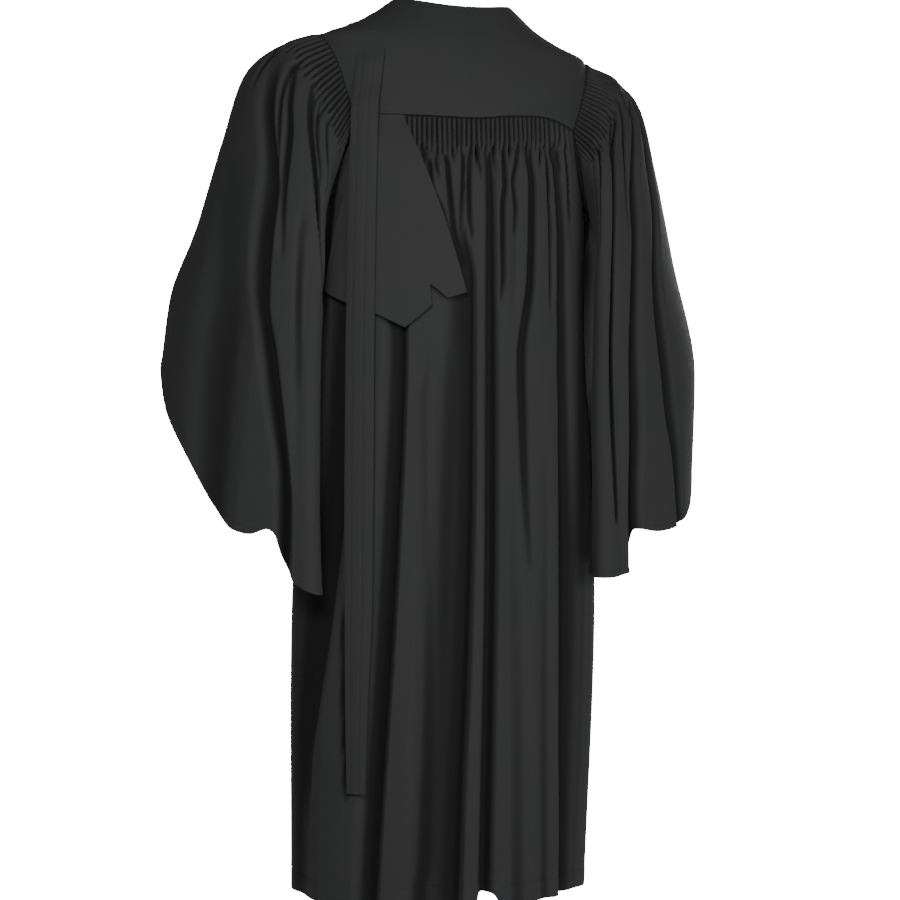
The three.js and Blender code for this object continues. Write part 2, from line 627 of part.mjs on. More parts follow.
// The flap's two lobes, in columns from its outer side: top, foot and reach down of each
const flapTop = backSeamDrop + 1.5;
const flapUnder = [
  { top: 128, foot: 192, reach: 414, bulge: 6 },
  { top: 125, foot: 174, reach: 424, bulge: 3 },
  { top: 122, foot: 155, reach: 433, bulge: 1 },
  { top: 120, foot: 128, reach: 436, bulge: 0 },
];
const flapOver = [
  { top: 134, foot: 137, reach: 440, bulge: 0 },
  { top: 119, foot: 119, reach: 447, bulge: 0 },
  { top: 110, foot: 101, reach: 456, bulge: 0 },
  { top: 103, foot: 83, reach: 465, bulge: 0 },
  { top: 97, foot: 65, reach: 449, bulge: 0 },
  { top: 93.4, foot: 49.5, reach: 434, bulge: 0 },
  { top: 93, foot: 51.5, reach: 406, bulge: 0 },
  { top: 91, foot: 40, reach: 415, bulge: -2 },
  { top: 89, foot: 29, reach: 424, bulge: -3 },
  { top: 88, foot: 16, reach: 420, bulge: -4 },
  { top: 87, foot: 3, reach: 415, bulge: -6 },
];
function flapRows(columns, layer) {
  const shares = shareList(columns.length - 1);
  return shareList(8).map((v) => {
    const spots = columns.map((column) => ({
      around: lerp(column.top, column.foot, v) + column.bulge * Math.sin(Math.PI * v),
      drop: lerp(flapTop, column.reach, v),
    }));
    return {
      shares,
      points: spots.map(({ around, drop }) => backAt(around, drop)),
      relief: spots.map(({ drop }) => layerOut(layer, drop)),
    };
  });
}

// The streamer: a flat strip over the left of the yoke, hanging almost to the hem
const streamer = [
  { at: 84, middle: 126, half: 18 },
  { at: 178, middle: 136, half: 18 },
  { at: 640, middle: 138, half: 18.5 },
  { at: 828, middle: 137.5, half: 17.5 },
  { at: 960, middle: 138.5, half: 14.5 },
  { at: 1081, middle: 137.5, half: 12 },
];
function streamerRows() {
  const shares = shareList(3);
  const drops = [84, 110, 135, 160, 180, 200, 240, 300, 370, 440, 520, 620, 730, 850, 970, 1081];
  return drops.map((drop) => ({
    shares,
    points: shares.map((share) => (
      backAt(between(streamer, 'middle', drop) + lerp(1, -1, share) * between(streamer, 'half', drop), drop)
    )),
    relief: shares.map(() => layerOut(2 - smoothstep(drop, 480, 620), drop)),
  }));
}

const cloth = new THREE.MeshStandardMaterial({ color: 0x1d1e1e, roughness: 0.78, metalness: 0 });
const gown = new THREE.Group();

const yoke = addNormals(yokeRows());
yoke.forEach((row) => { row.relief = row.points.map(() => 0); });
gown.add(clothWall('yoke', cloth, yoke));
gown.add(clothWall('back_panel', cloth, addNormals(backRows())));
for (const [name, side] of Object.entries(sides)) {
  const mirrored = side.sign < 0;
  gown.add(clothWall(
    `front_${name}`,
    cloth,
    addNormals(frontRows(side), { mirrored: !mirrored }),
    { flipped: !mirrored },
  ));
  gown.add(clothWall(
    `sleeve_${name}`,
    cloth,
    addNormals(sleeveRows(side, sleeves[name]), { closed: true, mirrored }),
    { closed: true, flipped: mirrored },
  ));
}

gown.add(clothWall('hood_flap_under', cloth, addNormals(flapRows(flapUnder, 0))));
gown.add(clothWall('hood_flap_over', cloth, addNormals(flapRows(flapOver, 1))));
gown.add(clothWall('streamer', cloth, addNormals(streamerRows())));

export default gown;
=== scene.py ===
# A barrister's gown of black stuff cloth, worn, seen from behind.
# Shapes are worked out in the gown's own millimetres and turned into metres as each mesh is made.
# +X is the wearer's left, -Y the front, +Z up, with the origin in the middle of the neck.
import math

import bmesh
import bpy
import numpy as np
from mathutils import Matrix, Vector


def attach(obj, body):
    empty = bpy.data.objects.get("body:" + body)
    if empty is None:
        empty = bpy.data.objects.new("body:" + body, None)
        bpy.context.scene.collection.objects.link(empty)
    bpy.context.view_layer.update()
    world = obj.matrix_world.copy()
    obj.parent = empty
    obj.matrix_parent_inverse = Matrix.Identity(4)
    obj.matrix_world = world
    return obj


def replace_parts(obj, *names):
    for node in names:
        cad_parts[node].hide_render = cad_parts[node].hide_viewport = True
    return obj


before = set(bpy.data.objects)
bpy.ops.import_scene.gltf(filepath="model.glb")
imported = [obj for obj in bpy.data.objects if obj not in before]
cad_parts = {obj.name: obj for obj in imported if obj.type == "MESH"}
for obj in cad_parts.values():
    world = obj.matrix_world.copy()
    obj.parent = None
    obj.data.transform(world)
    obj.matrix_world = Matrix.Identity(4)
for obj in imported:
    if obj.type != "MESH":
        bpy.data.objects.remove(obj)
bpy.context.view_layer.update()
mm = 0.001

# sizes that every piece shares
gown = {
    "napeDrop": 14,
    "hemDrop": 1230,
    "roundness": 2.3,
    "neckHalfWidth": 86,
    "shoulderDrop": 58,
    "backSeamDrop": 175,
    "underarmDrop": 290,
    "bandLength": 47,
    "rightShoulderLower": 9,
    "sleeveClearance": 7,
}

# the worn body of the gown at drops below the neck
body = {
    "at": [0, 28, 44, 62, 118, 175, 290, 400, 640, 840, 1230],
    "wide": [86, 124, 159, 199, 203, 204, 196, 194, 200, 205, 196],
    "back": [58, 71, 78, 85, 99, 108, 116, 122, 134, 142, 150],
    "front": [50, 60, 68, 76, 92, 103, 108, 111, 118, 126, 138],
    "shift": [0, 0, 0, 0, 0, 0, 0, 0, 2, 5, 9],
}

# the seam under the back of the yoke rises a little on the wearer's right
seamRise = {"at": [-163, -150, -133, -110, -68, -18, 0, 150], "rise": [0, 4, 9, 12, 9, 1, 0, 0]}
# and so does the row of stitches under the gathers
rowRise = {"at": [-200, -180, -134, -71, -16, 20, 150], "rise": [16, 16, 13, 9, 2, 0, 0]}

sides = {
    "left": {"sign": 1, "backAcross": 150, "backCurve": 0.24, "frontAcross": 158, "frontCurve": 0.5},
    "right": {"sign": -1, "backAcross": 163, "backCurve": 0.55, "frontAcross": 158, "frontCurve": 0.5},
}


def smooth(x, low, high):
    t = np.clip((np.asarray(x, float) - low) / (high - low), 0, 1)
    return t * t * (3 - 2 * t)


def mix(a, b, t):
    return a + (b - a) * t


def between(table, column, place):
    # a smooth value between the rows of a table, without overshoot
    at, value = np.array(table["at"], float), np.array(table[column], float)
    secant = np.diff(value) / np.diff(at)
    slope = np.concatenate([secant[:1], np.zeros(len(at) - 2), secant[-1:]])
    before, after = secant[:-1], secant[1:]
    same = before * after > 0
    slope[1:-1] = np.where(same, 2 * before * after / np.where(same, before + after, 1), 0)
    place = np.asarray(place, float)
    k = np.clip(np.searchsorted(at, place, side="right") - 1, 0, len(at) - 2)
    span = at[k + 1] - at[k]
    t = np.clip((place - at[k]) / span, 0, 1)
    value = mix(value[k], value[k + 1], t * t * (3 - 2 * t))
    return value + span * (slope[k] * t * (1 - t) ** 2 - slope[k + 1] * t * t * (1 - t))


def bodyPoint(turn, drop):
    # turn in degrees: 0 the wearer's left, 90 the back, 180 the right, 270 the front
    turn, drop = np.broadcast_arrays(np.asarray(turn, float), np.asarray(drop, float))
    c, s = np.cos(np.radians(turn)), np.sin(np.radians(turn))
    power = 2 / gown["roundness"]
    deep = np.where(s > 0, between(body, "back", drop), between(body, "front", drop))
    across = between(body, "wide", drop) * np.sign(c) * np.abs(c) ** power
    lower = gown["rightShoulderLower"] * smooth(-across, 0, gown["neckHalfWidth"])
    lower = lower * smooth(drop, 0, gown["shoulderDrop"])
    lower = lower * (1 - 0.8 * smooth(drop, gown["shoulderDrop"], gown["backSeamDrop"]))
    y = deep * np.sign(s) * np.abs(s) ** power
    return np.stack([across + between(body, "shift", drop), y, -drop - lower], axis=-1)


def turnAcross(across, drop):
    share = np.clip(np.abs(across) / between(body, "wide", drop), 0, 1)
    return np.degrees(np.arccos(share ** (gown["roundness"] / 2)))


def armholeTurn(side, drop, face):
    # how far round the body, from its side, the armhole's edge lies
    seam, shoulder, underarm = gown["backSeamDrop"], gown["shoulderDrop"], gown["underarmDrop"]
    most = turnAcross(side[face + "Across"], seam)
    high = np.clip((drop - shoulder) / (seam - shoulder), 0, 1) ** side[face + "Curve"]
    low = np.clip((drop - seam) / (underarm - seam), 0, 1)
    return most * np.where(drop < seam, high, np.sqrt(1 - low * low))


def turnOn(side, fromSide, face):
    signed = fromSide if face == "back" else -fromSide
    return signed if side["sign"] > 0 else 180 - signed


def alongCurve(points, shares, trim=0):
    # points spread by length along a curve
    length = np.concatenate([[0], np.cumsum(np.linalg.norm(np.diff(points, axis=0), axis=1))])
    goal = mix(trim, length[-1] - trim, np.asarray(shares))
    return np.stack([np.interp(goal, length, points[:, k]) for k in range(3)], axis=-1)


# painted shade in the grooves: the depths in millimetres at which a groove's painted shade is at its
# darkest, and the share of painted shade which a trough adds
shadow = {"pleat": 2.2, "fold": 8.0, "broad": 14.0, "trough": 11, "troughShare": 0.55}


def troughs(folds, spot, place, unit=1.0, narrow=1.0):
    # how deep the troughs of a table press the cloth in, and how much painted shade they lay in the colour
    # unit turns spots into millimetres
    total = np.zeros(np.broadcast(spot, place).shape)
    troughShade = total.copy()
    for fold in folds:
        first, last, fade = fold["at"][0], fold["at"][-1], fold["fade"]
        inside = smooth(place, first - fade, first) * (1 - smooth(place, last, last + fade))
        distance = (spot - between(fold, "spot", place)) * unit
        reach = np.where(distance < 0, fold["before"], fold["after"]) * narrow
        x = np.clip(np.abs(distance) / reach, 0, 1)
        press = between(fold, "deep", place) * inside * (1 - x * x) ** 2
        total = total + press
        troughShade = np.maximum(troughShade, np.clip(press / shadow["trough"], 0, 1))
    return total, troughShade


def gathers(phase, below, style):
    # phase counts the pleats across; below is how far under the last row of stitches, negative in the band
    sway = style["sway"] * smooth(below, -style["band"], 10)
    phase = phase + sway * np.sin(phase * style["swayStep"] + style["start"])
    groove = np.rint(phase)
    off = np.abs(phase - groove)
    pleat = ((1 - np.cos(2 * np.pi * off)) / 2) ** 0.8
    lot = np.modf(np.abs(np.sin(groove * 12.99 + style["start"])) * 4375.85)[0]
    reach = mix(style["shortest"], style["longest"], lot * lot * lot)
    dying = 1 - smooth(below, 0.1 * reach, reach)
    wide = mix(0.36, 0.6, smooth(below, 0, 30))
    slit = (1 - np.clip(off / wide, 0, 1) ** 2) ** 2
    inBand = 1 - smooth(below, -3, 5)
    even = 0.85 + 0.3 * np.modf(lot * 7.3)[0]
    cut = style["slit"] * slit * dying * (1 - inBand) * even
    stitched = style["pinch"] * np.exp(-((below / 2.4) ** 2)) * pleat
    return style["half"] * (2 * pleat - 1) * even * inBand - cut - stitched


def blurred(values, reach, closed):
    # the mean over so many columns to each side
    if closed:
        wide = np.concatenate([values[:, -1 - reach:-1], values, values[:, 1:reach + 1]], axis=1)
    else:
        wide = np.concatenate([values[:, :1]] * reach + [values] + [values[:, -1:]] * reach, axis=1)
    total = np.cumsum(np.concatenate([np.zeros((len(wide), 1)), wide], axis=1), axis=1)
    return (total[:, 2 * reach + 1:] - total[:, :-2 * reach - 1]) / (2 * reach + 1)


def grooveShade(relief, near, far, closed=False):
    # painted shade: how far each point lies in a groove, among the pleats and among the large folds, to
    # darken the colour there
    fine = np.clip((blurred(relief, near, closed) - relief) / shadow["pleat"], 0, 1)
    broad = np.clip((blurred(relief, far, closed) - relief) / shadow["fold"], 0, 1)
    wide = np.clip((blurred(relief, 2 * far, closed) - relief) / shadow["broad"], 0, 1)
    return 1 - (1 - fine) * (1 - broad) * (1 - wide)


def addTroughShade(creaseShade, troughShade):
    # the troughs' painted shade added to the grooves' painted shade
    return 1 - (1 - creaseShade) * (1 - shadow["troughShare"] * troughShade)


def outward(grid, closed=False, soften=6):
    # rows run from the wearer's left round the back to the right, so out is down cross along
    along, down = np.gradient(grid, axis=1), np.gradient(grid, axis=0)
    if closed:
        along[:, 0] = along[:, -1] = (grid[:, 1] - grid[:, -2]) / 2
    normal = np.cross(down, along)
    normal = normal / np.maximum(np.linalg.norm(normal, axis=-1, keepdims=True), 1e-9)
    for _ in range(soften):
        before, after = np.roll(normal, 1, axis=1), np.roll(normal, -1, axis=1)
        if closed:
            before[:, 0], after[:, -1] = normal[:, -2], normal[:, 1]
        else:
            before[:, 0], after[:, -1] = normal[:, 0], normal[:, -1]
        normal = normal / 2 + (before + after) / 4
    return normal / np.linalg.norm(normal, axis=-1, keepdims=True)


def downLength(grid):
    steps = np.linalg.norm(np.diff(grid, axis=0), axis=-1)
    return np.concatenate([np.zeros((1, grid.shape[1])), np.cumsum(steps, axis=0)])


def hemmed(grid, distances):
    # swaps the last row for rows at set distances above the edge, for the fold and stitches of a hem
    end, before = grid[-1], grid[-2]
    away = before - end
    unit = away / np.linalg.norm(away, axis=-1, keepdims=True)
    return np.concatenate([grid[:-1], np.stack([end + unit * d for d in distances] + [end])])


def makeCloth(name, grid, creaseShade, thick, closed=False):
    # a wall of cloth from a grid of points on its outer face; its crease shade is painted shade, 0 on a
    # ridge and 1 in a groove
    rows, columns = grid.shape[:2]
    creaseShade = np.broadcast_to(creaseShade, (rows, columns))
    inner = grid - outward(grid, closed, 1) * thick
    shape = bmesh.new()
    shape.loops.layers.uv.new("cloth")
    bmesh.ops.create_grid(shape, x_segments=columns - 1, y_segments=rows - 1, size=1, calc_uvs=True)
    column = [round((vert.co.x + 1) / 2 * (columns - 1)) for vert in shape.verts]
    row = [round((1 - vert.co.y) / 2 * (rows - 1)) for vert in shape.verts]
    spot = shape.verts.layers.int.new("spot")
    for vert, i, j in zip(shape.verts, row, column):
        vert[spot] = i * columns + j
        vert.co = grid[i, j] * mm
    if closed:
        bmesh.ops.remove_doubles(shape, verts=shape.verts[:], dist=1e-6)
    count = len(shape.verts)
    shape.normal_update()
    bmesh.ops.solidify(shape, geom=shape.faces[:], thickness=1e-6)
    mesh = bpy.data.meshes.new(name)
    shape.to_mesh(mesh)
    shape.free()
    spots = np.empty(len(mesh.vertices), np.int32)
    mesh.attributes["spot"].data.foreach_get("value", spots)
    outside = np.arange(len(spots)) < count
    place = np.where(outside[:, None], grid.reshape(-1, 3)[spots], inner.reshape(-1, 3)[spots])
    mesh.vertices.foreach_set("co", (place * mm).ravel())
    # the crease shade goes into the groove attribute, where the material turns it into painted shade
    paintedShade = mesh.attributes.new("groove", "FLOAT", "POINT")
    paintedShade.data.foreach_set("value", np.clip(creaseShade.ravel()[spots], 0, 1).astype(np.float32))
    mesh.attributes.remove(mesh.attributes["spot"])
    across = np.linalg.norm(np.diff(grid, axis=1), axis=-1).sum(axis=1).mean()
    down = downLength(grid).mean(axis=1)
    layer = mesh.uv_layers["cloth"].uv
    uv = np.empty(len(layer) * 2)
    layer.foreach_get("vector", uv)
    uv[1::2] = np.interp((1 - uv[1::2]) * (rows - 1), np.arange(rows), down[-1] - down) * mm
    uv[0::2] *= across * mm
    layer.foreach_set("vector", uv)
    mesh.shade_smooth()
    mesh.set_sharp_from_angle(angle=math.radians(75))
    mesh.update()
    piece = bpy.data.objects.new(name, mesh)
    bpy.context.scene.collection.objects.link(piece)
    mesh.materials.append(stuffCloth)
    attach(piece, "root")
    print(name, len(mesh.polygons), "faces")
    return piece


class Wire:
    # an output of a node, for shader maths
    def __init__(self, tree, socket):
        self.tree, self.socket = tree, socket

    def node(self, kind, settings=None, inputs=None, output=0):
        made = self.tree.nodes.new(kind)
        for key, value in (settings or {}).items():
            setattr(made, key, value)
        for key, value in (inputs or {}).items():
            if isinstance(value, Wire):
                self.tree.links.new(value.socket, made.inputs[key])
            else:
                made.inputs[key].default_value = value
        return Wire(self.tree, made.outputs[output])

    def maths(self, operation, a, b=0.0):
        return self.node("ShaderNodeMath", {"operation": operation}, {0: a, 1: b})

    def __add__(self, other):
        return self.maths("ADD", self, other)

    def __radd__(self, other):
        return self.maths("ADD", other, self)

    def __sub__(self, other):
        return self.maths("SUBTRACT", self, other)

    def __rsub__(self, other):
        return self.maths("SUBTRACT", other, self)

    def __mul__(self, other):
        return self.maths("MULTIPLY", self, other)

    def __rmul__(self, other):
        return self.maths("MULTIPLY", other, self)

    def ramp(self, low, high, start=0.0, end=1.0):
        inputs = {"Value": self, "From Min": low, "From Max": high, "To Min": start, "To Max": end}
        return self.node("ShaderNodeMapRange", {"interpolation_type": "SMOOTHSTEP"}, inputs)


stuff = {
    # deep is the colour of full painted shade in the creases; open and openWarm are the cloth's own colour
    "deep": (0.0030, 0.0031, 0.0032, 1),
    "open": (0.0228, 0.0246, 0.0237, 1),
    "openWarm": (0.0247, 0.0237, 0.0249, 1),
    "roughness": 0.86,
    "sheen": 0.02,
    "threadPitch": 0.0006,
    "streak": 0.22,
    "mottle": 0.10,
    "bump": 0.25,
}


def clothMaterial(name, look):
    # matt black stuff: fine weave, faint uneven warp threads, and painted shade darkening the colour down in
    # the creases
    made = bpy.data.materials.new(name)
    made.use_nodes = True
    tree = made.node_tree
    shader = tree.nodes["Principled BSDF"]
    wire = Wire(tree, None)
    uv = wire.node("ShaderNodeUVMap", {"uv_map": "cloth"})
    place = wire.node("ShaderNodeTexCoord", output="Object")
    # the groove attribute carries the painted shade of the creases
    paintedShade = wire.node("ShaderNodeAttribute", {"attribute_name": "groove"}, output="Fac")
    warpPlace = wire.node("ShaderNodeVectorMath", {"operation": "MULTIPLY"}, {0: uv, 1: (420, 9, 1)})
    warp = wire.node("ShaderNodeTexNoise", {}, {"Vector": warpPlace, "Scale": 1.0, "Detail": 3.0})
    broadPlace = wire.node("ShaderNodeVectorMath", {"operation": "MULTIPLY"}, {0: uv, 1: (60, 3, 1)})
    broad = wire.node("ShaderNodeTexNoise", {}, {"Vector": broadPlace, "Scale": 1.0, "Detail": 2.0})
    cloud = wire.node("ShaderNodeTexNoise", {}, {"Vector": place, "Scale": 7.0, "Detail": 2.0})
    turn = 2 * math.pi / look["threadPitch"]
    across, down = [wire.node("ShaderNodeSeparateXYZ", {}, {0: uv}, output=k) for k in (0, 1)]
    ribs = wire.maths("SINE", across * turn)
    picks = wire.maths("SINE", down * turn)
    weave = 0.5 + 0.25 * (ribs + picks)
    # painted shade from the creases, times the cloth's own streaky and mottled tone
    shadeAndTone = (1 - paintedShade.ramp(0.05, 0.95)) * (1 - look["streak"] + 2 * look["streak"] * warp)
    shadeAndTone = shadeAndTone * (1 - look["mottle"] + 2 * look["mottle"] * cloud) * (0.93 + 0.14 * broad)
    hue = {"Factor": cloud.ramp(0.4, 0.6), 6: look["open"], 7: look["openWarm"]}
    hue = wire.node("ShaderNodeMix", {"data_type": "RGBA"}, hue, output=2)
    colour = wire.node(
        "ShaderNodeMix", {"data_type": "RGBA"}, {"Factor": shadeAndTone, 6: look["deep"], 7: hue}, output=2
    )
    tree.links.new(colour.socket, shader.inputs["Base Color"])
    height = weave * 0.6 + warp * 0.8
    bump = wire.node(
        "ShaderNodeBump", {}, {"Strength": look["bump"], "Distance": 0.0004, "Height": height}
    )
    tree.links.new(bump.socket, shader.inputs["Normal"])
    tree.links.new((look["roughness"] - 0.05 + 0.1 * warp).socket, shader.inputs["Roughness"])
    shader.inputs["Sheen Weight"].default_value = look["sheen"]
    shader.inputs["Sheen Roughness"].default_value = 0.55
    shader.inputs["Specular IOR Level"].default_value = 0.28
    return made


stuffCloth = clothMaterial("stuffCloth", stuff)

photo = {
    "azimuth": 166, "distance": 2.5, "level": -0.626, "across": 0.0113, "seen": 1.272, "roll": 0.9,
    "sensor": 36,
}


def makeCamera():
    turn = math.radians(photo["azimuth"])
    toCamera = np.array([math.sin(turn), -math.cos(turn), 0])
    toRight = np.array([math.cos(turn), math.sin(turn), 0])
    data = bpy.data.cameras.new("camera")
    data.sensor_width = photo["sensor"]
    data.lens = photo["sensor"] * photo["distance"] / photo["seen"]
    camera = bpy.data.objects.new("camera", data)
    bpy.context.scene.collection.objects.link(camera)
    level = np.array([0, 0, photo["level"]])
    camera.location = toCamera * photo["distance"] + toRight * photo["across"] + level
    camera.rotation_euler = (math.pi / 2, -math.radians(photo["roll"]), turn)
    bpy.context.scene.camera = camera
    return toCamera, toRight


toCamera, toRight = makeCamera()

lamps = {
    "key": {"across": -0.2, "near": 1.7, "up": 0.5, "size": 0.45, "power": 20},
    "fill": {"across": 1.55, "near": 1.9, "up": 0.2, "size": 0.9, "power": 26},
    "frontRight": {"across": 1.3, "near": -2.6, "up": 0.9, "size": 1.6, "power": 80},
    "frontLeft": {"across": -0.5, "near": -2.9, "up": 0.7, "size": 1.6, "power": 16},
}
room = {"glow": 0.09, "seen": 22.0, "aim": -0.55, "floorSeen": 0.85}


def makeLights():
    for name, lamp in lamps.items():
        data = bpy.data.lights.new(name, "AREA")
        data.size = lamp["size"]
        data.energy = lamp["power"]
        light = bpy.data.objects.new(name, data)
        bpy.context.scene.collection.objects.link(light)
        aim = np.array([0, 0, room["aim"]])
        spot = aim + toRight * lamp["across"] + toCamera * lamp["near"] + np.array([0, 0, lamp["up"]])
        light.location = spot
        light.rotation_euler = Vector(aim - spot).to_track_quat("-Z", "Y").to_euler()
    world = bpy.data.worlds.new("softRoom")
    world.use_nodes = True
    tree = world.node_tree
    wire = Wire(tree, None)
    seen = wire.node("ShaderNodeLightPath", output="Is Camera Ray")
    backdrop = tree.nodes["Background"]
    backdrop.inputs["Color"].default_value = (1, 1, 1, 1)
    tree.links.new((room["glow"] + seen * (room["seen"] - room["glow"])).socket, backdrop.inputs["Strength"])
    bpy.context.scene.world = world


def makeFloor():
    floor = {"drop": 1.49, "size": 30}
    shape = bmesh.new()
    bmesh.ops.create_grid(shape, x_segments=1, y_segments=1, size=floor["size"])
    bmesh.ops.translate(shape, vec=(0, 0, -floor["drop"]), verts=shape.verts[:])
    mesh = bpy.data.meshes.new("floor")
    shape.to_mesh(mesh)
    shape.free()
    piece = bpy.data.objects.new("floor", mesh)
    bpy.context.scene.collection.objects.link(piece)
    paint = bpy.data.materials.new("paleFloor")
    paint.use_nodes = True
    tree = paint.node_tree
    plain = tree.nodes["Principled BSDF"]
    plain.inputs["Base Color"].default_value = (0.92, 0.92, 0.92, 1)
    plain.inputs["Roughness"].default_value = 0.9
    wire = Wire(tree, None)
    seen = wire.node("ShaderNodeLightPath", output="Is Camera Ray")
    pale = wire.node("ShaderNodeEmission", {}, {"Strength": room["seen"]})
    matt = Wire(tree, plain.outputs["BSDF"])
    shown = wire.node("ShaderNodeMixShader", {}, {0: seen * room["floorSeen"], 1: matt, 2: pale})
    tree.links.new(shown.socket, tree.nodes["Material Output"].inputs["Surface"])
    mesh.materials.append(paint)


makeLights()
makeFloor()

yoke = {
    "thick": 1.4, "front": 14, "shoulder": 30, "back": 120, "rows": 70, "neckShare": 0.74,
    "frontEdge": {"across": 84.0, "top": 50, "low": 105.0},
    "stitches": {"in": 5, "half": 1.6, "deep": 0.15},
    "slack": {"high": 0.45, "across": 31.0, "down": 26.0},
}


def makeYoke():
    # one horseshoe over the shoulders, from the neck edge to the armholes and the seams
    neck, seam, shoulder = gown["neckHalfWidth"], gown["backSeamDrop"], gown["shoulderDrop"]
    backNeck, front = neck * yoke["neckShare"], yoke["frontEdge"]

    def neckDrop(across):
        return gown["napeDrop"] * (1 - (across / neck) ** 2)

    def outer(side, drop, face):
        return np.abs(bodyPoint(turnOn(side, armholeTurn(side, drop, face), face), drop)[..., 0])

    lines = {}
    for name, side in sides.items():
        t = np.arange(yoke["front"]) / yoke["front"]
        drop = mix(front["low"], shoulder, t)
        frontPart = [mix(front["across"], neck, t), front["top"] * (1 - t), outer(side, drop, "front"), drop]
        t = np.arange(yoke["shoulder"]) / yoke["shoulder"]
        drop = mix(float(shoulder), seam, t)
        start = mix(float(neck), backNeck, t)
        backPart = [start, neckDrop(start), outer(side, drop, "back"), drop]
        lines[name] = (frontPart, backPart)
    v = np.linspace(0, 1, yoke["rows"])[:, None]
    columns = []

    def add(part, side, face, reverse=False):
        a, top, b, low = [values[None, :] for values in part]
        across, drop = mix(a, b, v), mix(top, low, v)
        points = bodyPoint(turnOn(side, turnAcross(across, drop), face), drop)
        columns.append(points[:, ::-1] if reverse else points)

    add(lines["left"][0], sides["left"], "front")
    add(lines["left"][1], sides["left"], "back")
    t = np.linspace(0, 1, yoke["back"] + 1)
    start = mix(backNeck, -backNeck, t)
    end = mix(sides["left"]["backAcross"], -sides["right"]["backAcross"], t)
    low = seam - between(seamRise, "rise", end)
    across, drop = mix(start[None], end[None], v), mix(neckDrop(start)[None], low[None], v)
    turn = turnAcross(across, drop)
    columns.append(bodyPoint(np.where(across >= 0, turn, 180 - turn), drop))
    add(lines["right"][1], sides["right"], "back", True)
    add(lines["right"][0], sides["right"], "front", True)
    grid = np.concatenate(columns, axis=1)
    normal = outward(grid)
    edge = downLength(grid)
    fromEdge = np.minimum(edge, edge[-1] - edge)
    line, slack = yoke["stitches"], yoke["slack"]
    relief = yoke["thick"] / 2 - line["deep"] * np.exp(-((fromEdge - line["in"]) / line["half"]) ** 2)
    waves = np.sin(grid[..., 0] / slack["across"]) * np.sin(grid[..., 2] / slack["down"])
    soft = slack["high"] * waves * smooth(fromEdge, 10, 60)
    grid = grid + normal * (relief + soft)[..., None]
    # painted shade darkens the colour along the yoke's edges
    creaseShade = 0.25 * np.exp(-(fromEdge / 1.5) ** 2)
    return makeCloth("yoke_cloth", grid, creaseShade, yoke["thick"])


swell = {"at": [175, 240, 330, 640, 1230], "out": [0, 3, 7, 12, 15]}

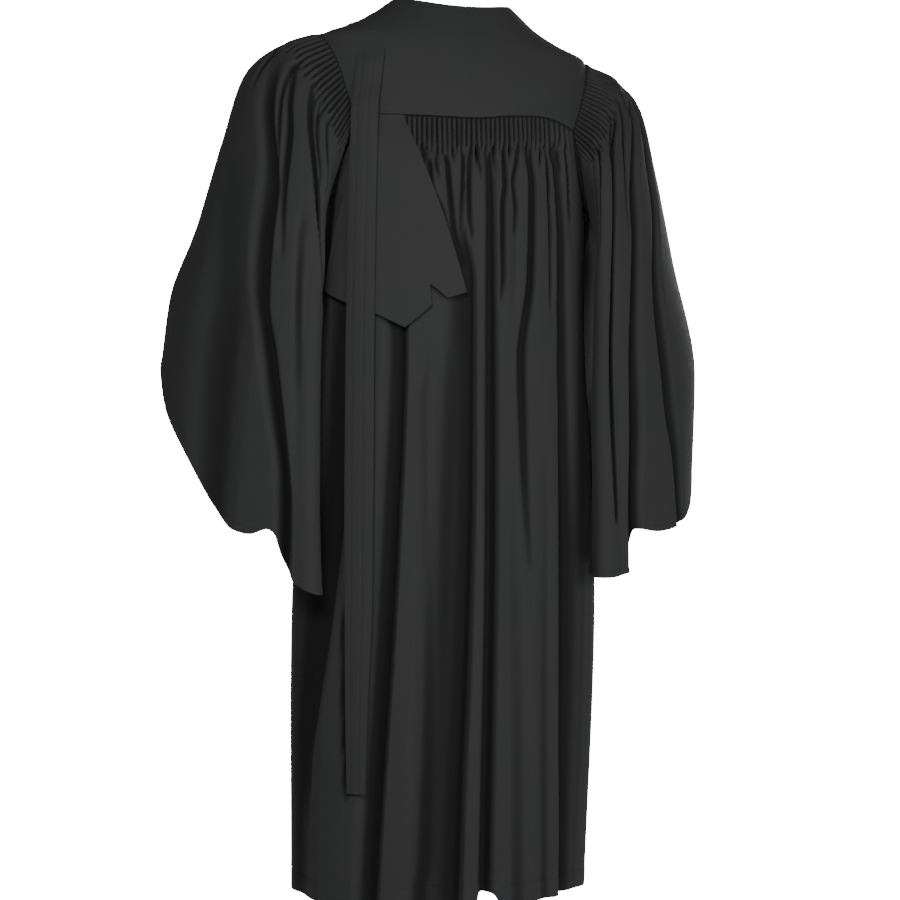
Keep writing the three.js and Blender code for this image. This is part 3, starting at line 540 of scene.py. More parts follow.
# troughs between the folds of the back; a spot is millimetres from the middle, to the wearer's left
backFolds = [
    {"fade": 90, "before": 12, "after": 62, "at": [330, 560, 700, 830, 967, 1040],
     "spot": [160, 160, 166, 180, 200, 214], "deep": [5, 11, 15, 17, 15, 9]},
    {"fade": 90, "before": 50, "after": 50, "at": [760, 1000, 1230], "spot": [232, 236, 238],
     "deep": [7, 12, 13]},
    {"fade": 60, "before": 6, "after": 8, "at": [860, 1000, 1050], "spot": [158, 155, 152],
     "deep": [5, 6, 5]},
    {"fade": 80, "before": 22, "after": 34, "at": [520, 700, 960, 1230], "spot": [30, 33, 42, 56],
     "deep": [4, 7, 8, 8]},
    {"fade": 90, "before": 60, "after": 8, "at": [640, 800, 1230], "spot": [-141, -144, -148],
     "deep": [4, 8, 9]},
    {"fade": 90, "before": 9, "after": 30, "at": [330, 500, 760, 892, 1024, 1156, 1230],
     "spot": [85, 86, 95, 101, 108, 114, 117], "deep": [6, 13, 16, 17, 17, 17, 17]},
    {"fade": 90, "before": 16, "after": 20, "at": [506, 560, 626, 825, 1023, 1155, 1230],
     "spot": [48, 59, 57, 53, 51, 52, 58], "deep": [3, 5, 5, 4, 4, 5, 6]},
    {"fade": 40, "before": 10, "after": 56, "at": [340, 397, 625, 891, 1090, 1230],
     "spot": [4, -5, -4, 1, 8, 11], "deep": [8, 11, 16, 18, 19, 19]},
    {"fade": 10, "before": 12, "after": 13, "at": [222, 240, 267, 395, 691, 1230],
     "spot": [-28, -32, -33, -33, -33, -28], "deep": [5, 8, 9, 13, 16, 18]},
    {"fade": 10, "before": 9, "after": 12, "at": [218, 233, 262, 300, 389, 500, 620, 780],
     "spot": [-89, -91, -96, -95, -92, -77, -80, -88], "deep": [5, 8, 10, 11, 12, 10, 7, 3]},
    {"fade": 10, "before": 24, "after": 8, "at": [214, 229, 256, 332, 445, 753, 1000, 1110, 1230],
     "spot": [-128, -131, -135, -140, -139, -140, -143, -146, -149],
     "deep": [4, 7, 8, 10, 12, 12, 10, 9, 8]},
    {"fade": 10, "before": 7, "after": 9, "at": [224, 244, 271, 304, 344, 374],
     "spot": [56, 51, 49, 35, 21, 10], "deep": [4, 7, 7, 7, 6, 3]},
    {"fade": 10, "before": 6, "after": 8, "at": [224, 243, 270, 304, 331, 371],
     "spot": [32, 26, 24, 21, 17, 3], "deep": [4, 7, 8, 7, 6, 4]},
    {"fade": 10, "before": 6, "after": 6, "at": [224, 242, 269, 303, 325], "spot": [5, 5, 6, 8, 8],
     "deep": [4, 6, 6, 4, 2]},
    {"fade": 10, "before": 6, "after": 7, "at": [222, 242, 269, 303, 336], "spot": [-5, -4, -3, -3, -6],
     "deep": [4, 6, 7, 6, 5]},
    {"fade": 10, "before": 7, "after": 7, "at": [220, 237, 264, 299, 394, 421],
     "spot": [-51, -53, -54, -50, -50, -46], "deep": [4, 6, 8, 8, 6, 3]},
    {"fade": 10, "before": 6, "after": 6, "at": [218, 235, 263, 297, 325], "spot": [-73, -72, -66, -69, -67],
     "deep": [4, 6, 6, 4, 2]},
    {"fade": 10, "before": 6, "after": 6, "at": [215, 231, 258, 292, 389, 430],
     "spot": [-118, -120, -121, -122, -123, -122], "deep": [4, 6, 7, 7, 5, 2]},
    {"fade": 10, "before": 7, "after": 6, "at": [212, 226, 254, 281, 330],
     "spot": [-153, -154, -158, -159, -161],
     "deep": [4, 6, 7, 5, 2]},
    {"fade": 12, "before": 12, "after": 8, "at": [208, 222, 250, 282, 375, 480],
     "spot": [-178, -184, -189, -204, -212, -220], "deep": [4, 7, 8, 8, 6, 2]},
    {"fade": 160, "before": 60, "after": 50, "at": [640, 900, 1230], "spot": [-236, -236, -230],
     "deep": [-13, -16, -12]},
    {"fade": 160, "before": 40, "after": 40, "at": [640, 900, 1230], "spot": [258, 266, 272],
     "deep": [-6, -9, -10]},
    {"fade": 12, "before": 5, "after": 5, "at": [222, 236, 250], "spot": [59, 58, 58], "deep": [4, 4, 2]},
    {"fade": 12, "before": 5, "after": 5, "at": [222, 242, 257], "spot": [45, 42, 39], "deep": [4, 4, 2]},
    {"fade": 12, "before": 5, "after": 5, "at": [220, 241, 254], "spot": [-15, -18, -20], "deep": [4, 4, 2]},
    {"fade": 12, "before": 5, "after": 5, "at": [218, 238, 252], "spot": [-38, -40, -41], "deep": [4, 4, 2]},
    {"fade": 12, "before": 5, "after": 5, "at": [208, 228, 242], "spot": [-140, -141, -144],
     "deep": [3, 4, 2]},
    {"fade": 40, "before": 12, "after": 12, "at": [300, 360, 430], "spot": [-66, -66, -64],
     "deep": [2, 3, 2]},
    {"fade": 120, "before": 22, "after": 22, "at": [560, 760, 980, 1230], "spot": [-66, -64, -70, -74],
     "deep": [1.5, 3, 4, 5]},
    {"fade": 120, "before": 14, "after": 18, "at": [700, 900, 1230], "spot": [-112, -112, -118],
     "deep": [2, 3.5, 5]},
    {"fade": 80, "before": 9, "after": 14, "at": [240, 300, 420], "spot": [104, 103, 100],
     "deep": [3, 4, 3]},
    {"fade": 80, "before": 8, "after": 12, "at": [240, 330, 520], "spot": [138, 142, 146],
     "deep": [4, 5, 3]},
    {"fade": 80, "before": 8, "after": 12, "at": [235, 300, 420], "spot": [170, 186, 196],
     "deep": [4, 5, 3]},
]

# small dark openings between the pleats just under the row of stitches
backFolds += [
    {"fade": 5, "before": 5, "after": 5, "at": [219, 226, 240], "spot": [spot, spot * 0.98, spot * 0.96],
     "deep": [5, 4, 1]}
    for spot in (62, 39, 18, -15, -38, -63, -112, -131)
]

backPanel = {
    "thick": 1.0, "flutes": 46, "columns": 322, "trim": 0.4,
    "tuck": 4, "tuckDeep": 2.2, "seamUnder": 0.7, "edgeUnder": 1.5,
    "gather": {"half": 2.3, "slit": 4.0, "pinch": 0.9, "sway": 0.1, "swayStep": 0.83, "start": 1.7,
               "band": 43,
               "shortest": 7, "longest": 45},
    "spread": {"columns": 0.12, "at": [175, 222, 290, 1230], "inner": [119, 119, 121, 151]},
    "hemArch": {"spot": -31, "half": 13, "rise": 16, "from": 70},
}


def spreadSpots(share, drop, left, right):
    # millimetres from the middle: the gathered columns keep their places
    # and the outer ones go on to the row's ends
    s = backPanel["spread"]
    edge = np.minimum(share, 1 - share)
    end = np.where(share < 0.5, left, right)
    inner = between(s, "inner", drop)
    inside = inner * (0.5 - edge) / (0.5 - s["columns"])
    outside = mix(end, inner, edge / s["columns"])
    return np.where(edge < s["columns"], outside, inside) * np.where(share < 0.5, 1, -1)


def makeBack():
    seam, underarm, hem = gown["backSeamDrop"], gown["underarmDrop"], gown["hemDrop"]
    band = backPanel["gather"]["band"]
    shares = np.linspace(0, 1, backPanel["columns"] + 1)
    drops = np.concatenate([
        [seam - backPanel["tuck"], seam - 1, seam + 0.6],
        np.arange(seam + 3, seam + band - 4, 4.5),
        np.arange(seam + band - 4, 306, 3),
        np.arange(310, 420, 7.5),
        np.arange(424, hem - 30, 12),
        [hem],
    ])
    points, spots = [], []
    t = np.linspace(0, 1, 500)
    for drop in drops:
        under = backPanel["seamUnder"] * smooth(drop, underarm + 6, underarm + 30)
        start, end = [
            turnOn(side, armholeTurn(side, max(drop, seam), "back") - under, "back")
            for side in sides.values()
        ]
        turn = mix(start, end, t)
        curve = bodyPoint(turn, drop)
        atRow = smooth(drop, seam, seam + band)
        rise = mix(between(seamRise, "rise", curve[:, 0]), between(rowRise, "rise", curve[:, 0]), atRow)
        curve = bodyPoint(turn, drop - rise * (1 - smooth(drop, seam + band, 320)))
        length = np.concatenate([[0], np.cumsum(np.linalg.norm(np.diff(curve, axis=0), axis=1))])
        middle = np.interp(0, -curve[:, 0], length)
        trim = backPanel["trim"]
        spot = spreadSpots(shares, drop, middle - trim, length[-1] - middle - trim)
        points.append(np.stack([np.interp(middle - spot, length, curve[:, k]) for k in range(3)], axis=-1))
        spots.append(spot)
    grid, spots = np.stack(points), np.stack(spots)
    drop = drops[:, None]
    edge = np.minimum(shares, 1 - shares)[None]
    gathered = gathers(shares[None] * backPanel["flutes"], drop - seam - band, backPanel["gather"])
    narrow = mix(0.8, 1.0, smooth(drop, 240, 620))
    pressed, troughShade = troughs(backFolds, spots, drop, 1.0, narrow)
    atSeam = smooth(edge, 0, mix(0.03, 0.07, smooth(drop, 260, 420)))
    tucked = -backPanel["tuckDeep"] * (1 - smooth(drop, seam - 1, seam + 3))
    gathered = gathered * smooth(edge, 0, 0.05) * mix(0.3, 1, smooth(drop, seam, seam + 6))
    under = backPanel["edgeUnder"] * (1 - smooth(edge, 0, 0.005)) * smooth(drop, underarm + 6, underarm + 30)
    relief = (between(swell, "out", drop) - pressed) * atSeam + gathered + tucked - under
    # painted shade in the grooves and troughs, and full painted shade where the panel tucks under the yoke's
    # edge
    creaseShade = np.maximum(addTroughShade(grooveShade(relief, 4, 18), troughShade), 1 - smooth(drop, seam + 1, seam + 5))
    arch = backPanel["hemArch"]
    raised = arch["rise"] * np.exp(-(((spots - arch["spot"]) / arch["half"]) ** 4))
    grid[..., 2] += raised * smooth(drop, hem - arch["from"], hem)
    normal = outward(grid)
    grid = grid + normal * (relief + backPanel["thick"] / 2)[..., None]
    grid, creaseShade = finishHem(grid, creaseShade, normal, 26)
    return makeCloth("back_cloth", grid, creaseShade, backPanel["thick"])


def finishHem(grid, creaseShade, normal, deep):
    # the turned-up hem stands a little proud, with a fine line of stitches along its top
    distances = [deep + 2, deep + 0.8, deep, deep - 0.8, deep - 3, 1.2]
    proud = [0, 0, -0.35, 0, 0.45, 0.45]
    grid = hemmed(grid, distances)
    add = np.array(proud + [0])[:, None, None] * normal[-1][None]
    grid[-7:] = grid[-7:] + add
    extra = np.repeat(creaseShade[-1:], 6, axis=0)
    # painted shade in the pressed line of the hem's stitches
    extra[2] = extra[2] + 0.18
    return grid, np.concatenate([creaseShade[:-1], extra, creaseShade[-1:]])


frontPanel = {
    "thick": 1.0, "flutes": 16, "columns": 132, "trim": 0.4, "top": 50.8, "slope": 55,
    "edge": {"at": [50, 250, 1230], "across": [84, 66, 50]},
    "gather": {"half": 1.8, "slit": 3.2, "pinch": 0.7, "sway": 0.25, "swayStep": 0.9, "start": 0.6,
               "band": 38,
               "shortest": 12, "longest": 80},
}
frontFolds = [
    {"fade": 80, "before": 18, "after": 22, "at": [240, 640, 1230], "spot": [0.3, 0.3, 0.27],
     "deep": [5, 12, 15]},
    {"fade": 80, "before": 26, "after": 18, "at": [260, 640, 1230], "spot": [0.55, 0.57, 0.6],
     "deep": [5, 12, 16]},
    {"fade": 120, "before": 9, "after": 11, "at": [230, 420, 700], "spot": [0.42, 0.43, 0.45],
     "deep": [4, 5, 2]},
    {"fade": 120, "before": 9, "after": 9, "at": [200, 330, 480], "spot": [0.16, 0.17, 0.16],
     "deep": [3, 4, 2]},
    {"fade": 140, "before": 12, "after": 16, "at": [760, 980, 1230], "spot": [0.8, 0.82, 0.84],
     "deep": [3, 6, 8]},
]


def makeFront(name, side):
    shares = np.linspace(0, 1, frontPanel["columns"] + 1)
    depths = np.concatenate([[0, 0.002], np.arange(0.006, 0.1, 0.0035), np.arange(0.1, 0.975, 0.0115), [1]])
    t = np.linspace(0, 1, 300)
    eased = 1 - (1 - t) ** 2
    rows, drops, lengths = [], [], []
    for depth in depths:
        drop = mix(frontPanel["top"] + frontPanel["slope"] * eased, gown["hemDrop"], depth)
        edgeAcross = between(frontPanel["edge"], "across", drop[0])
        sideTurn = armholeTurn(side, drop[-1], "front")
        sideAcross = abs(bodyPoint(turnOn(sides["left"], sideTurn, "front"), drop[-1])[0])
        across = mix(edgeAcross, sideAcross, eased)
        curve = bodyPoint(turnOn(side, turnAcross(across, drop), "front"), drop)
        row = alongCurve(curve, shares, frontPanel["trim"])
        rows.append(row)
        drops.append(mix(frontPanel["top"] + frontPanel["slope"] * shares, gown["hemDrop"], depth))
        lengths.append(np.linalg.norm(np.diff(row, axis=0), axis=1).sum())
    grid, drop, length = np.stack(rows), np.stack(drops), np.array(lengths)[:, None]
    share = shares[None]
    below = downLength(grid) - frontPanel["gather"]["band"]
    gathered = gathers(share * frontPanel["flutes"], below, frontPanel["gather"])
    narrow = mix(0.7, 1.0, smooth(drop, 240, 620))
    pressed, troughShade = troughs(frontFolds, share, drop, length, narrow)
    atSeam = smooth(np.minimum(share * 1.5, 1 - share), 0, 0.2)
    edge = smooth(np.minimum(share, 1 - share), 0, 0.08)
    relief = (between(swell, "out", drop) - pressed) * atSeam + gathered * edge
    # painted shade in the grooves and troughs
    creaseShade = addTroughShade(grooveShade(relief, 4, 18), troughShade)
    if side["sign"] > 0:
        grid, relief, creaseShade = grid[:, ::-1], relief[:, ::-1], creaseShade[:, ::-1]
    normal = outward(grid)
    grid = grid + normal * (relief + frontPanel["thick"] / 2)[..., None]
    grid, creaseShade = finishHem(grid, creaseShade, normal, 26)
    return makeCloth(f"front_{name}_cloth", grid, creaseShade, frontPanel["thick"])


sleeves = {
    "left": {
        "at": [0.075, 0.17, 0.32, 0.5, 0.74, 1],
        "outer": [(243, -2, 74), (285, -8, 112), (313, -12, 205), (343, -18, 325), (378, -22, 455),
                  (386, -10, 590)],
        "back": [(178, 98, 216), (196, 112, 268), (212, 120, 372), (226, 124, 500), (238, 126, 640),
                 (248, 126, 790)],
        "inner": [(208, 2, 318), (217, 4, 362), (219, 8, 440), (219, 15, 545), (214, 32, 665),
                  (200, 60, 790)],
        "front": [(182, -92, 214), (205, -106, 255), (236, -112, 325), (264, -116, 400), (294, -118, 462),
                  (318, -115, 540)],
        "hem": {"at": [0, 0.06, 0.12, 0.16, 0.19, 0.225, 0.238, 0.252, 0.264, 0.29, 0.36, 0.5, 0.65, 0.78,
                       0.88,
                       0.94, 1],
                "drop": [580, 634, 706, 736, 741, 734, 740, 768, 784, 806, 820, 785, 690, 560, 500, 520,
                         580]},
        "folds": [
            {"fade": 0.03, "before": 32, "after": 11,
             "at": [0.11, 0.14, 0.21, 0.31, 0.4, 0.5, 0.57, 0.71, 0.84, 1],
             "spot": [0.068, 0.085, 0.11, 0.145, 0.152, 0.165, 0.192, 0.23, 0.258, 0.268],
             "deep": [3, 6, 10, 13, 16, 17, 18, 18, 19, 20]},
            {"fade": 0.15, "before": 60, "after": 46, "at": [0.4, 0.6, 1], "spot": [0.075, 0.115, 0.12],
             "deep": [5, 8, 8]},
            {"fade": 0.03, "before": 7, "after": 7, "at": [0.1, 0.14, 0.21, 0.26],
             "spot": [0.095, 0.11, 0.13, 0.142],
             "deep": [4, 6, 6, 3]},
            {"fade": 0.03, "before": 14, "after": 8, "at": [0.09, 0.12, 0.2, 0.3, 0.38],
             "spot": [0.1, 0.12, 0.155, 0.165, 0.18], "deep": [4, 7, 11, 8, 3]},
            {"fade": 0.03, "before": 8, "after": 22, "at": [0.075, 0.09, 0.16, 0.23, 0.27, 0.32],
             "spot": [0.145, 0.155, 0.2, 0.25, 0.29, 0.32], "deep": [4, 7, 10, 11, 11, 7]},
            {"fade": 0.03, "before": 7, "after": 8, "at": [0.075, 0.09, 0.14, 0.17],
             "spot": [0.178, 0.185, 0.215, 0.24], "deep": [3, 5, 6, 4]},
            {"fade": 0.03, "before": 6, "after": 6, "at": [0.08, 0.11, 0.15], "spot": [0.215, 0.24, 0.28],
             "deep": [4, 5, 3]},
            {"fade": 0.04, "before": 6, "after": 6, "at": [0.08, 0.12, 0.17], "spot": [0.03, 0.045, 0.055],
             "deep": [4, 5, 3]},
            {"fade": 0.1, "before": 14, "after": 16, "at": [0.33, 0.42, 0.52], "spot": [0.215, 0.23, 0.25],
             "deep": [3, 4, 2]},
        ],
        "start": 2.3,
        "band": {"at": [0, 0.035, 0.1, 0.245, 0.34, 0.5, 0.6, 1], "deep": [30, 44, 44, 44, 8, 8, 44, 40]},
        "gathered": (0.28, 0.34),
    },
    "right": {
        "at": [0.075, 0.17, 0.32, 0.5, 0.74, 1],
        "outer": [(246, -2, 86), (286, -8, 128), (315, -12, 215), (346, -14, 340), (382, -10, 495),
                  (377, -4, 620)],
        "back": [(187, 98, 220), (197, 114, 268), (206, 123, 372), (214, 128, 500), (228, 130, 640),
                 (240, 130, 780)],
        "inner": [(208, 2, 326), (215, 6, 370), (214, 14, 446), (212, 24, 548), (205, 42, 665),
                  (193, 68, 780)],
        "front": [(182, -92, 222), (205, -106, 262), (236, -112, 330), (260, -116, 404), (282, -118, 480),
                  (298, -115, 560)],
        "hem": {"at": [0, 0.06, 0.12, 0.18, 0.232, 0.252, 0.36, 0.5, 0.65, 0.78, 0.88, 0.94, 1],
                "drop": [640, 704, 729, 735, 731, 790, 798, 782, 690, 575, 530, 560, 640]},
        "folds": [
            {"fade": 0.03, "before": 26, "after": 11,
             "at": [0.1, 0.13, 0.19, 0.25, 0.32, 0.41, 0.54, 0.71, 0.87, 1],
             "spot": [0.05, 0.085, 0.125, 0.15, 0.16, 0.18, 0.205, 0.226, 0.241, 0.247],
             "deep": [4, 7, 10, 12, 13, 15, 16, 18, 19, 20]},
            {"fade": 0.03, "before": 10, "after": 9,
             "at": [0.085, 0.1, 0.13, 0.18, 0.24, 0.34, 0.47, 0.64, 0.84],
             "spot": [0.13, 0.15, 0.19, 0.205, 0.22, 0.25, 0.275, 0.285, 0.29],
             "deep": [4, 6, 9, 10, 10, 10, 10, 9, 7]},
            {"fade": 0.04, "before": 24, "after": 10,
             "at": [0.1, 0.16, 0.26, 0.34, 0.46, 0.61, 0.7, 0.83, 1],
             "spot": [0.03, 0.065, 0.085, 0.09, 0.122, 0.135, 0.14, 0.125, 0.11],
             "deep": [3, 6, 7, 8, 9, 9, 9, 9, 9]},
            {"fade": 0.03, "before": 10, "after": 7, "at": [0.085, 0.12, 0.16, 0.23, 0.3],
             "spot": [0.1, 0.13, 0.155, 0.17, 0.178], "deep": [4, 6, 8, 7, 3]},
            {"fade": 0.03, "before": 6, "after": 6, "at": [0.08, 0.1, 0.13], "spot": [0.15, 0.178, 0.2],
             "deep": [4, 5, 3]},
            {"fade": 0.03, "before": 8, "after": 7, "at": [0.085, 0.12, 0.15, 0.2],
             "spot": [0.225, 0.252, 0.28, 0.3],
             "deep": [5, 8, 7, 4]},
            {"fade": 0.03, "before": 6, "after": 6, "at": [0.07, 0.09, 0.13], "spot": [0.255, 0.3, 0.33],
             "deep": [4, 6, 5]},
            {"fade": 0.03, "before": 6, "after": 6, "at": [0.07, 0.1, 0.14], "spot": [0.05, 0.085, 0.1],
             "deep": [3, 5, 3]},
        ],
        "start": 0.4,
        "band": {"at": [0, 0.02, 0.1, 0.14, 0.18, 0.225, 0.275, 0.34, 0.5, 0.6, 1],
                 "deep": [6, 8, 31, 43, 44, 44, 25, 8, 8, 44, 30]},
        "gathered": (0.245, 0.3),
    },
}
# both sleeves: the lobe behind the body, and the folds of the side that faces front
sleeveFolds = [
    {"fade": 0.14, "before": 62, "after": 80, "at": [0.3, 0.6, 1], "spot": [0.33, 0.33, 0.34],
     "deep": [-8, -12, -12]},
    {"fade": 0.1, "before": 26, "after": 26, "at": [0.2, 0.6, 1], "spot": [0.85, 0.81, 0.78],
     "deep": [7, 13, 16]},
    {"fade": 0.1, "before": 24, "after": 24, "at": [0.25, 0.6, 1], "spot": [0.74, 0.69, 0.66],
     "deep": [6, 10, 12]},
    {"fade": 0.1, "before": 20, "after": 20, "at": [0.2, 0.5], "spot": [0.92, 0.9], "deep": [4, 5]},
    {"fade": 0.08, "before": 11, "after": 11, "at": [0.14, 0.3], "spot": [0.79, 0.77], "deep": [6, 3]},
]
sleeveCloth = {
    "thick": 1.0, "flutes": 60, "gatheredTo": 0.36, "gatheredFrom": 0.66, "plainColumns": 36, "perFlute": 6,
    "outOfBody": (1, 1.6, 0), "clearance": 4.5, "seamGap": 0.6, "tucks": [(15, 4.5), (2, 2.5)],
    "gather": {"half": 2.3, "slit": 4.4, "pinch": 0.9, "sway": 0.1, "swayStep": 0.77, "band": 44,
               "shortest": 6, "longest": 40},
}


def clearOfBody(points):
    # moves points of a sleeve out of the body's folds, where it hangs against them
    drop = -points[..., 2]
    out = between(swell, "out", drop)
    out = out + gown["sleeveClearance"] * smooth(drop, gown["backSeamDrop"] - 10, gown["underarmDrop"] - 60)
    wide = between(body, "wide", drop) + out
    deep = np.where(points[..., 1] > 0, between(body, "back", drop), between(body, "front", drop)) + out
    power = gown["roundness"]
    acrossShare, deepShare = np.abs(points[..., 0]) / wide, np.abs(points[..., 1]) / deep
    size = (acrossShare ** power + deepShare ** power) ** (1 / power)
    size = np.where((size < 1) & (drop >= gown["backSeamDrop"]), size, 1)
    moved = points.copy()
    moved[..., 0] /= size
    moved[..., 1] /= size
    return moved


def makeSleeve(name, side):
    table = sleeves[name]
    to, start = sleeveCloth["gatheredTo"], sleeveCloth["gatheredFrom"]
    half = sleeveCloth["flutes"] // 2
    count = half * sleeveCloth["perFlute"]
    plain = sleeveCloth["plainColumns"]
    shares = np.concatenate([
        np.arange(count) / count * to,
        mix(to, start, np.arange(plain) / plain),
        mix(start, 1.0, np.arange(count + 1) / count),
    ])
    t = np.concatenate([np.linspace(0, 0.5, 400), np.linspace(0.5, 1, 400)[1:]])
    down = np.where(t < 0.5, t * 2, 2 - t * 2)
    drop = mix(gown["shoulderDrop"], gown["underarmDrop"], (1 - np.cos(np.pi * down)) / 2)
    back = bodyPoint(turnOn(side, armholeTurn(side, drop, "back"), "back"), drop)
    front = bodyPoint(turnOn(side, armholeTurn(side, drop, "front"), "front"), drop)
    loop = np.where((t < 0.5)[:, None], back, front)
    quarter = alongCurve(loop, [0, 0.25, 0.5, 0.75])
    guides = {"at": [0] + table["at"]}
    for i, key in enumerate(["outer", "back", "inner", "front"]):
        corners = [quarter[i]] + [np.array([x * side["sign"], y, -z]) for x, y, z in table[key]]
        for k, axis in enumerate("xyz"):
            guides[axis + key] = [corner[k] for corner in corners]

    def ring(place):
        four = [
            np.stack([between(guides, axis + key, place) for axis in "xyz"], axis=-1)[:, None]
            for key in ["outer", "back", "inner", "front"]
        ]
        outer, behind, inner, before = four
        angle = (2 * np.pi * shares)[None, :, None]
        skew = (outer + inner - behind - before) * 0.25 * np.cos(2 * angle)
        turned = (outer - inner) * np.cos(angle) / 2 + (behind - before) * np.sin(angle) / 2
        return sum(four) / 4 + skew + turned

    places = np.concatenate([
        np.linspace(0, 0.075, 11), np.arange(0.079, 0.16, 0.0045), np.arange(0.165, 0.45, 0.0085),
        np.arange(0.455, 0.97, 0.0125), [1],
    ])
    seam = alongCurve(loop, shares)
    away = (seam - ring(np.array([0.0]))[0])[None] * (1 - smooth(places, 0, 0.3))[:, None, None]
    longer = -between(table["hem"], "drop", shares) - ring(np.array([1.0]))[0][:, 2]
    grid = ring(places) + away
    grid[..., 2] += longer[None] * (np.clip((places - 0.45) / 0.55, 0, 1) ** 2)[:, None]
    clear = clearOfBody(grid)
    first = grid[0].copy()
    outOfBody = first * np.array(sleeveCloth["outOfBody"])
    outOfBody = outOfBody / np.linalg.norm(outOfBody, axis=-1, keepdims=True)
    direction = clear[8] - first
    direction = direction / np.linalg.norm(direction, axis=-1, keepdims=True)
    alongBody = 1 - (direction * outOfBody).sum(axis=-1) ** 2
    low = np.where(first[:, 1] > 0, gown["backSeamDrop"] - 10, 105)
    below = np.clip((-first[:, 2] - low) / 40, 0, 1)
    eased = below * below * (3 - 2 * below)
    clearance = (alongBody * eased * sleeveCloth["clearance"])[:, None] * outOfBody
    fade = (1 - smooth(places, 0.0, 0.06))[:, None, None]
    grid = clear + clearance[None] * fade + direction[None] * sleeveCloth["seamGap"] * fade
    around = np.linalg.norm(np.diff(grid, axis=1), axis=-1).sum(axis=1)[:, None]
    length = downLength(grid)
    share, place = shares[None], places[:, None]
    gathered = np.maximum(1 - smooth(share, *table["gathered"]), smooth(share, start, start + 0.012))
    gathered = gathered * mix(0.4, 1, smooth(length, 0, 6))
    phase = np.where(shares < 0.5, shares / to * half, (shares - start) / (1 - start) * half + half)
    style = dict(sleeveCloth["gather"], start=table["start"])
    pleats = gathers(phase[None], length - between(table["band"], "deep", share), style)
    pressed, troughShade = troughs(table["folds"] + sleeveFolds, share, place, around)
    relief = pleats * gathered - pressed
    # painted shade in the grooves and troughs, and painted shade along the seam at the sleeve's head
    creaseShade = np.maximum(addTroughShade(grooveShade(relief, 3, 16, True), troughShade), 0.8 * (1 - smooth(length, 0, 3)))
    tucks = [first - direction * back - outOfBody * deep for back, deep in sleeveCloth["tucks"]]
    grid = np.concatenate([np.stack(tucks), grid])
    relief, creaseShade = [np.concatenate([values[:1], values[:1], values]) for values in (relief, creaseShade)]
    if side["sign"] < 0:
        grid, relief, creaseShade = grid[:, ::-1], relief[:, ::-1], creaseShade[:, ::-1]
    normal = outward(grid, closed=True)
    grid = grid + normal * (relief + sleeveCloth["thick"] / 2)[..., None]
    grid, creaseShade = finishHem(grid, creaseShade, normal, 9)
    thick = sleeveCloth["thick"]
    return makeCloth(f"sleeve_{name}_cloth", grid, creaseShade, thick, True)


def backAt(around, drop):
    # points of the body's back, a length round from its middle to the wearer's left
    goal = around - between(body, "shift", drop)
    steps = 90
    end = np.where(goal > 0, 0.0, 180.0)
    found = bodyPoint(np.full_like(drop, 90.0), drop)
    point, length = found.copy(), np.zeros_like(goal)
    for i in range(1, steps + 1):
        following = bodyPoint(mix(90, end, i / steps), drop)
        step = np.linalg.norm(following - point, axis=-1)
        part = np.clip((np.abs(goal) - length) / step, 0, 1)[..., None]
        found = np.where(part > 0, mix(point, following, part), found)
        point, length = following, length + step
    return found


def layerOut(layer, drop):
    # how far the middle of a layer lies out from the body, over the yoke and then over the folds
    onYoke, seam = 2.8, gown["backSeamDrop"]
    overFlutes = onYoke + 2.1 * (1 - smooth(drop, seam + gown["bandLength"], 300))
    onFolds = between(swell, "out", drop) + overFlutes + 1.2 * smooth(drop, 200, 300) + layer * onYoke
    return mix(onYoke, onFolds, smooth(drop, seam - 50, seam + 2))


flapLobes = {
    "under": {"layer": 0, "top": [128, 125, 122, 120], "foot": [192, 174, 155, 128],
              "reach": [414, 424, 433, 436], "bulge": [6, 3, 1, 0], "flat": (0.10, 0.27), "area": 0.0105},
    "over": {"layer": 1, "top": [134, 119, 110, 103, 97, 93.4, 93, 91, 89, 88, 87],
             "foot": [137, 119, 101, 83, 65, 49.5, 51.5, 40, 29, 16, 3],
             "reach": [440, 447, 456, 465, 449, 434, 406, 415, 424, 420, 415],
             "bulge": [0, 0, 0, 0, 0, 0, 0, -2, -3, -4, -6], "flat": (0.16, 0.29), "area": 0.0265},
}
flap = {"thick": 1.6, "perStep": 8, "rows": 70, "turnedEdge": 0.35}


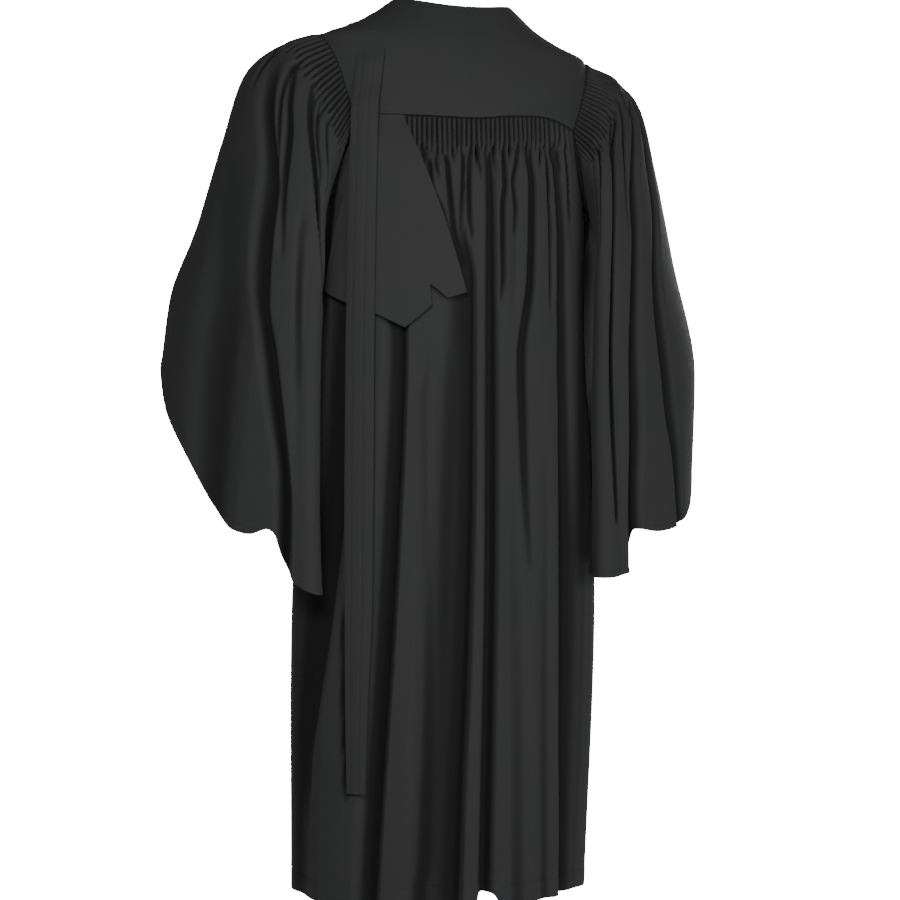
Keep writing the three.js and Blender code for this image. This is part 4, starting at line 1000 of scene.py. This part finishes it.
def makeFlap(name):
    lobe = flapLobes[name]
    known = np.arange(len(lobe["top"]))
    fine = np.linspace(0, known[-1], known[-1] * flap["perStep"] + 1)
    top, foot, reach, bulge = [
        np.interp(fine, known, lobe[key]) for key in ("top", "foot", "reach", "bulge")
    ]
    v = np.linspace(0, 1, flap["rows"])[:, None]
    around = mix(top[None], foot[None], v) + bulge[None] * np.sin(np.pi * v)
    drop = mix(gown["backSeamDrop"] + 1.5, reach[None], v)
    grid = backAt(around, drop)
    normal = outward(grid)
    fromSide = np.minimum(np.abs(around - around[:, :1]), np.abs(around - around[:, -1:]))
    edge = np.minimum(fromSide, reach[None] - drop)
    curl = 2.6 * smooth(v, 0.45, 1) * np.sin(np.pi * np.linspace(0, 1, len(fine)))[None] ** 0.7
    relief = layerOut(lobe["layer"], drop) * mix(0.25, 1, smooth(drop, 172, 226)) + curl
    relief = relief - flap["turnedEdge"] * np.exp(-((edge - 6) / 1.2) ** 2)
    grid = grid + normal * (relief + flap["thick"] / 2)[..., None]
    # painted shade along the turned edge's line and at the very edge
    creaseShade = 0.16 * np.exp(-((edge - 6) / 1.2) ** 2) + 0.1 * np.exp(-(edge / 1.5) ** 2)
    return makeCloth(f"flap_{name}_cloth", grid, creaseShade, flap["thick"])


streamer = {
    "thick": 1.8, "columns": 28, "rows": 260, "from": 84, "to": 1081,
    "at": [84, 178, 640, 828, 960, 1081],
    "middle": [126, 136, 138, 137.5, 138.5, 137.5],
    "half": [18, 18, 18.5, 17.5, 14.5, 12],
    "foldLines": [0.22, 0.6], "width": 36, "lineHalf": 1.3,
}


def makeStreamer():
    # a long double strip with two pressed lines down it
    share = np.linspace(0, 1, streamer["columns"] + 1)[None]
    drop = np.linspace(streamer["from"], streamer["to"], streamer["rows"])[:, None]
    around = between(streamer, "middle", drop) + mix(1, -1, share) * between(streamer, "half", drop)
    drop = np.broadcast_to(drop, around.shape)
    grid = backAt(around, drop)
    normal = outward(grid)
    width, half = streamer["width"], streamer["lineHalf"]
    pressed = sum(np.exp(-(((share - line) * width) / half) ** 2) for line in streamer["foldLines"])
    wave = 0.8 * np.sin(drop / 92.0) * smooth(drop, 300, 500)
    edge = np.minimum(share, 1 - share) * width
    relief = layerOut(2 - smooth(drop, 480, 620), drop) - 0.55 * pressed + wave
    relief = (relief + 0.7 * (1 - (2 * share - 1) ** 2)) * mix(0.1, 1, smooth(drop, streamer["from"], 108))
    grid = grid + normal * (relief + streamer["thick"] / 2)[..., None]
    # painted shade in the two pressed lines and at the edges, and a painted shadow along the right edge
    rightEdgeShadow = np.exp(-(((1 - share) * width / half) ** 2))
    creaseShade = 0.28 * pressed + 0.15 * np.exp(-(edge / 1.0) ** 2) + 0.7 * rightEdgeShadow
    return makeCloth("streamer_cloth", grid, creaseShade, streamer["thick"])


print("making the pieces")
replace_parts(makeYoke(), "yoke")
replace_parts(makeBack(), "back_panel")
for sideName, sideTable in sides.items():
    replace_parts(makeFront(sideName, sideTable), f"front_{sideName}")
    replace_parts(makeSleeve(sideName, sideTable), f"sleeve_{sideName}")
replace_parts(makeFlap("under"), "hood_flap_under")
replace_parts(makeFlap("over"), "hood_flap_over")
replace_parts(makeStreamer(), "streamer")

print("pieces made")
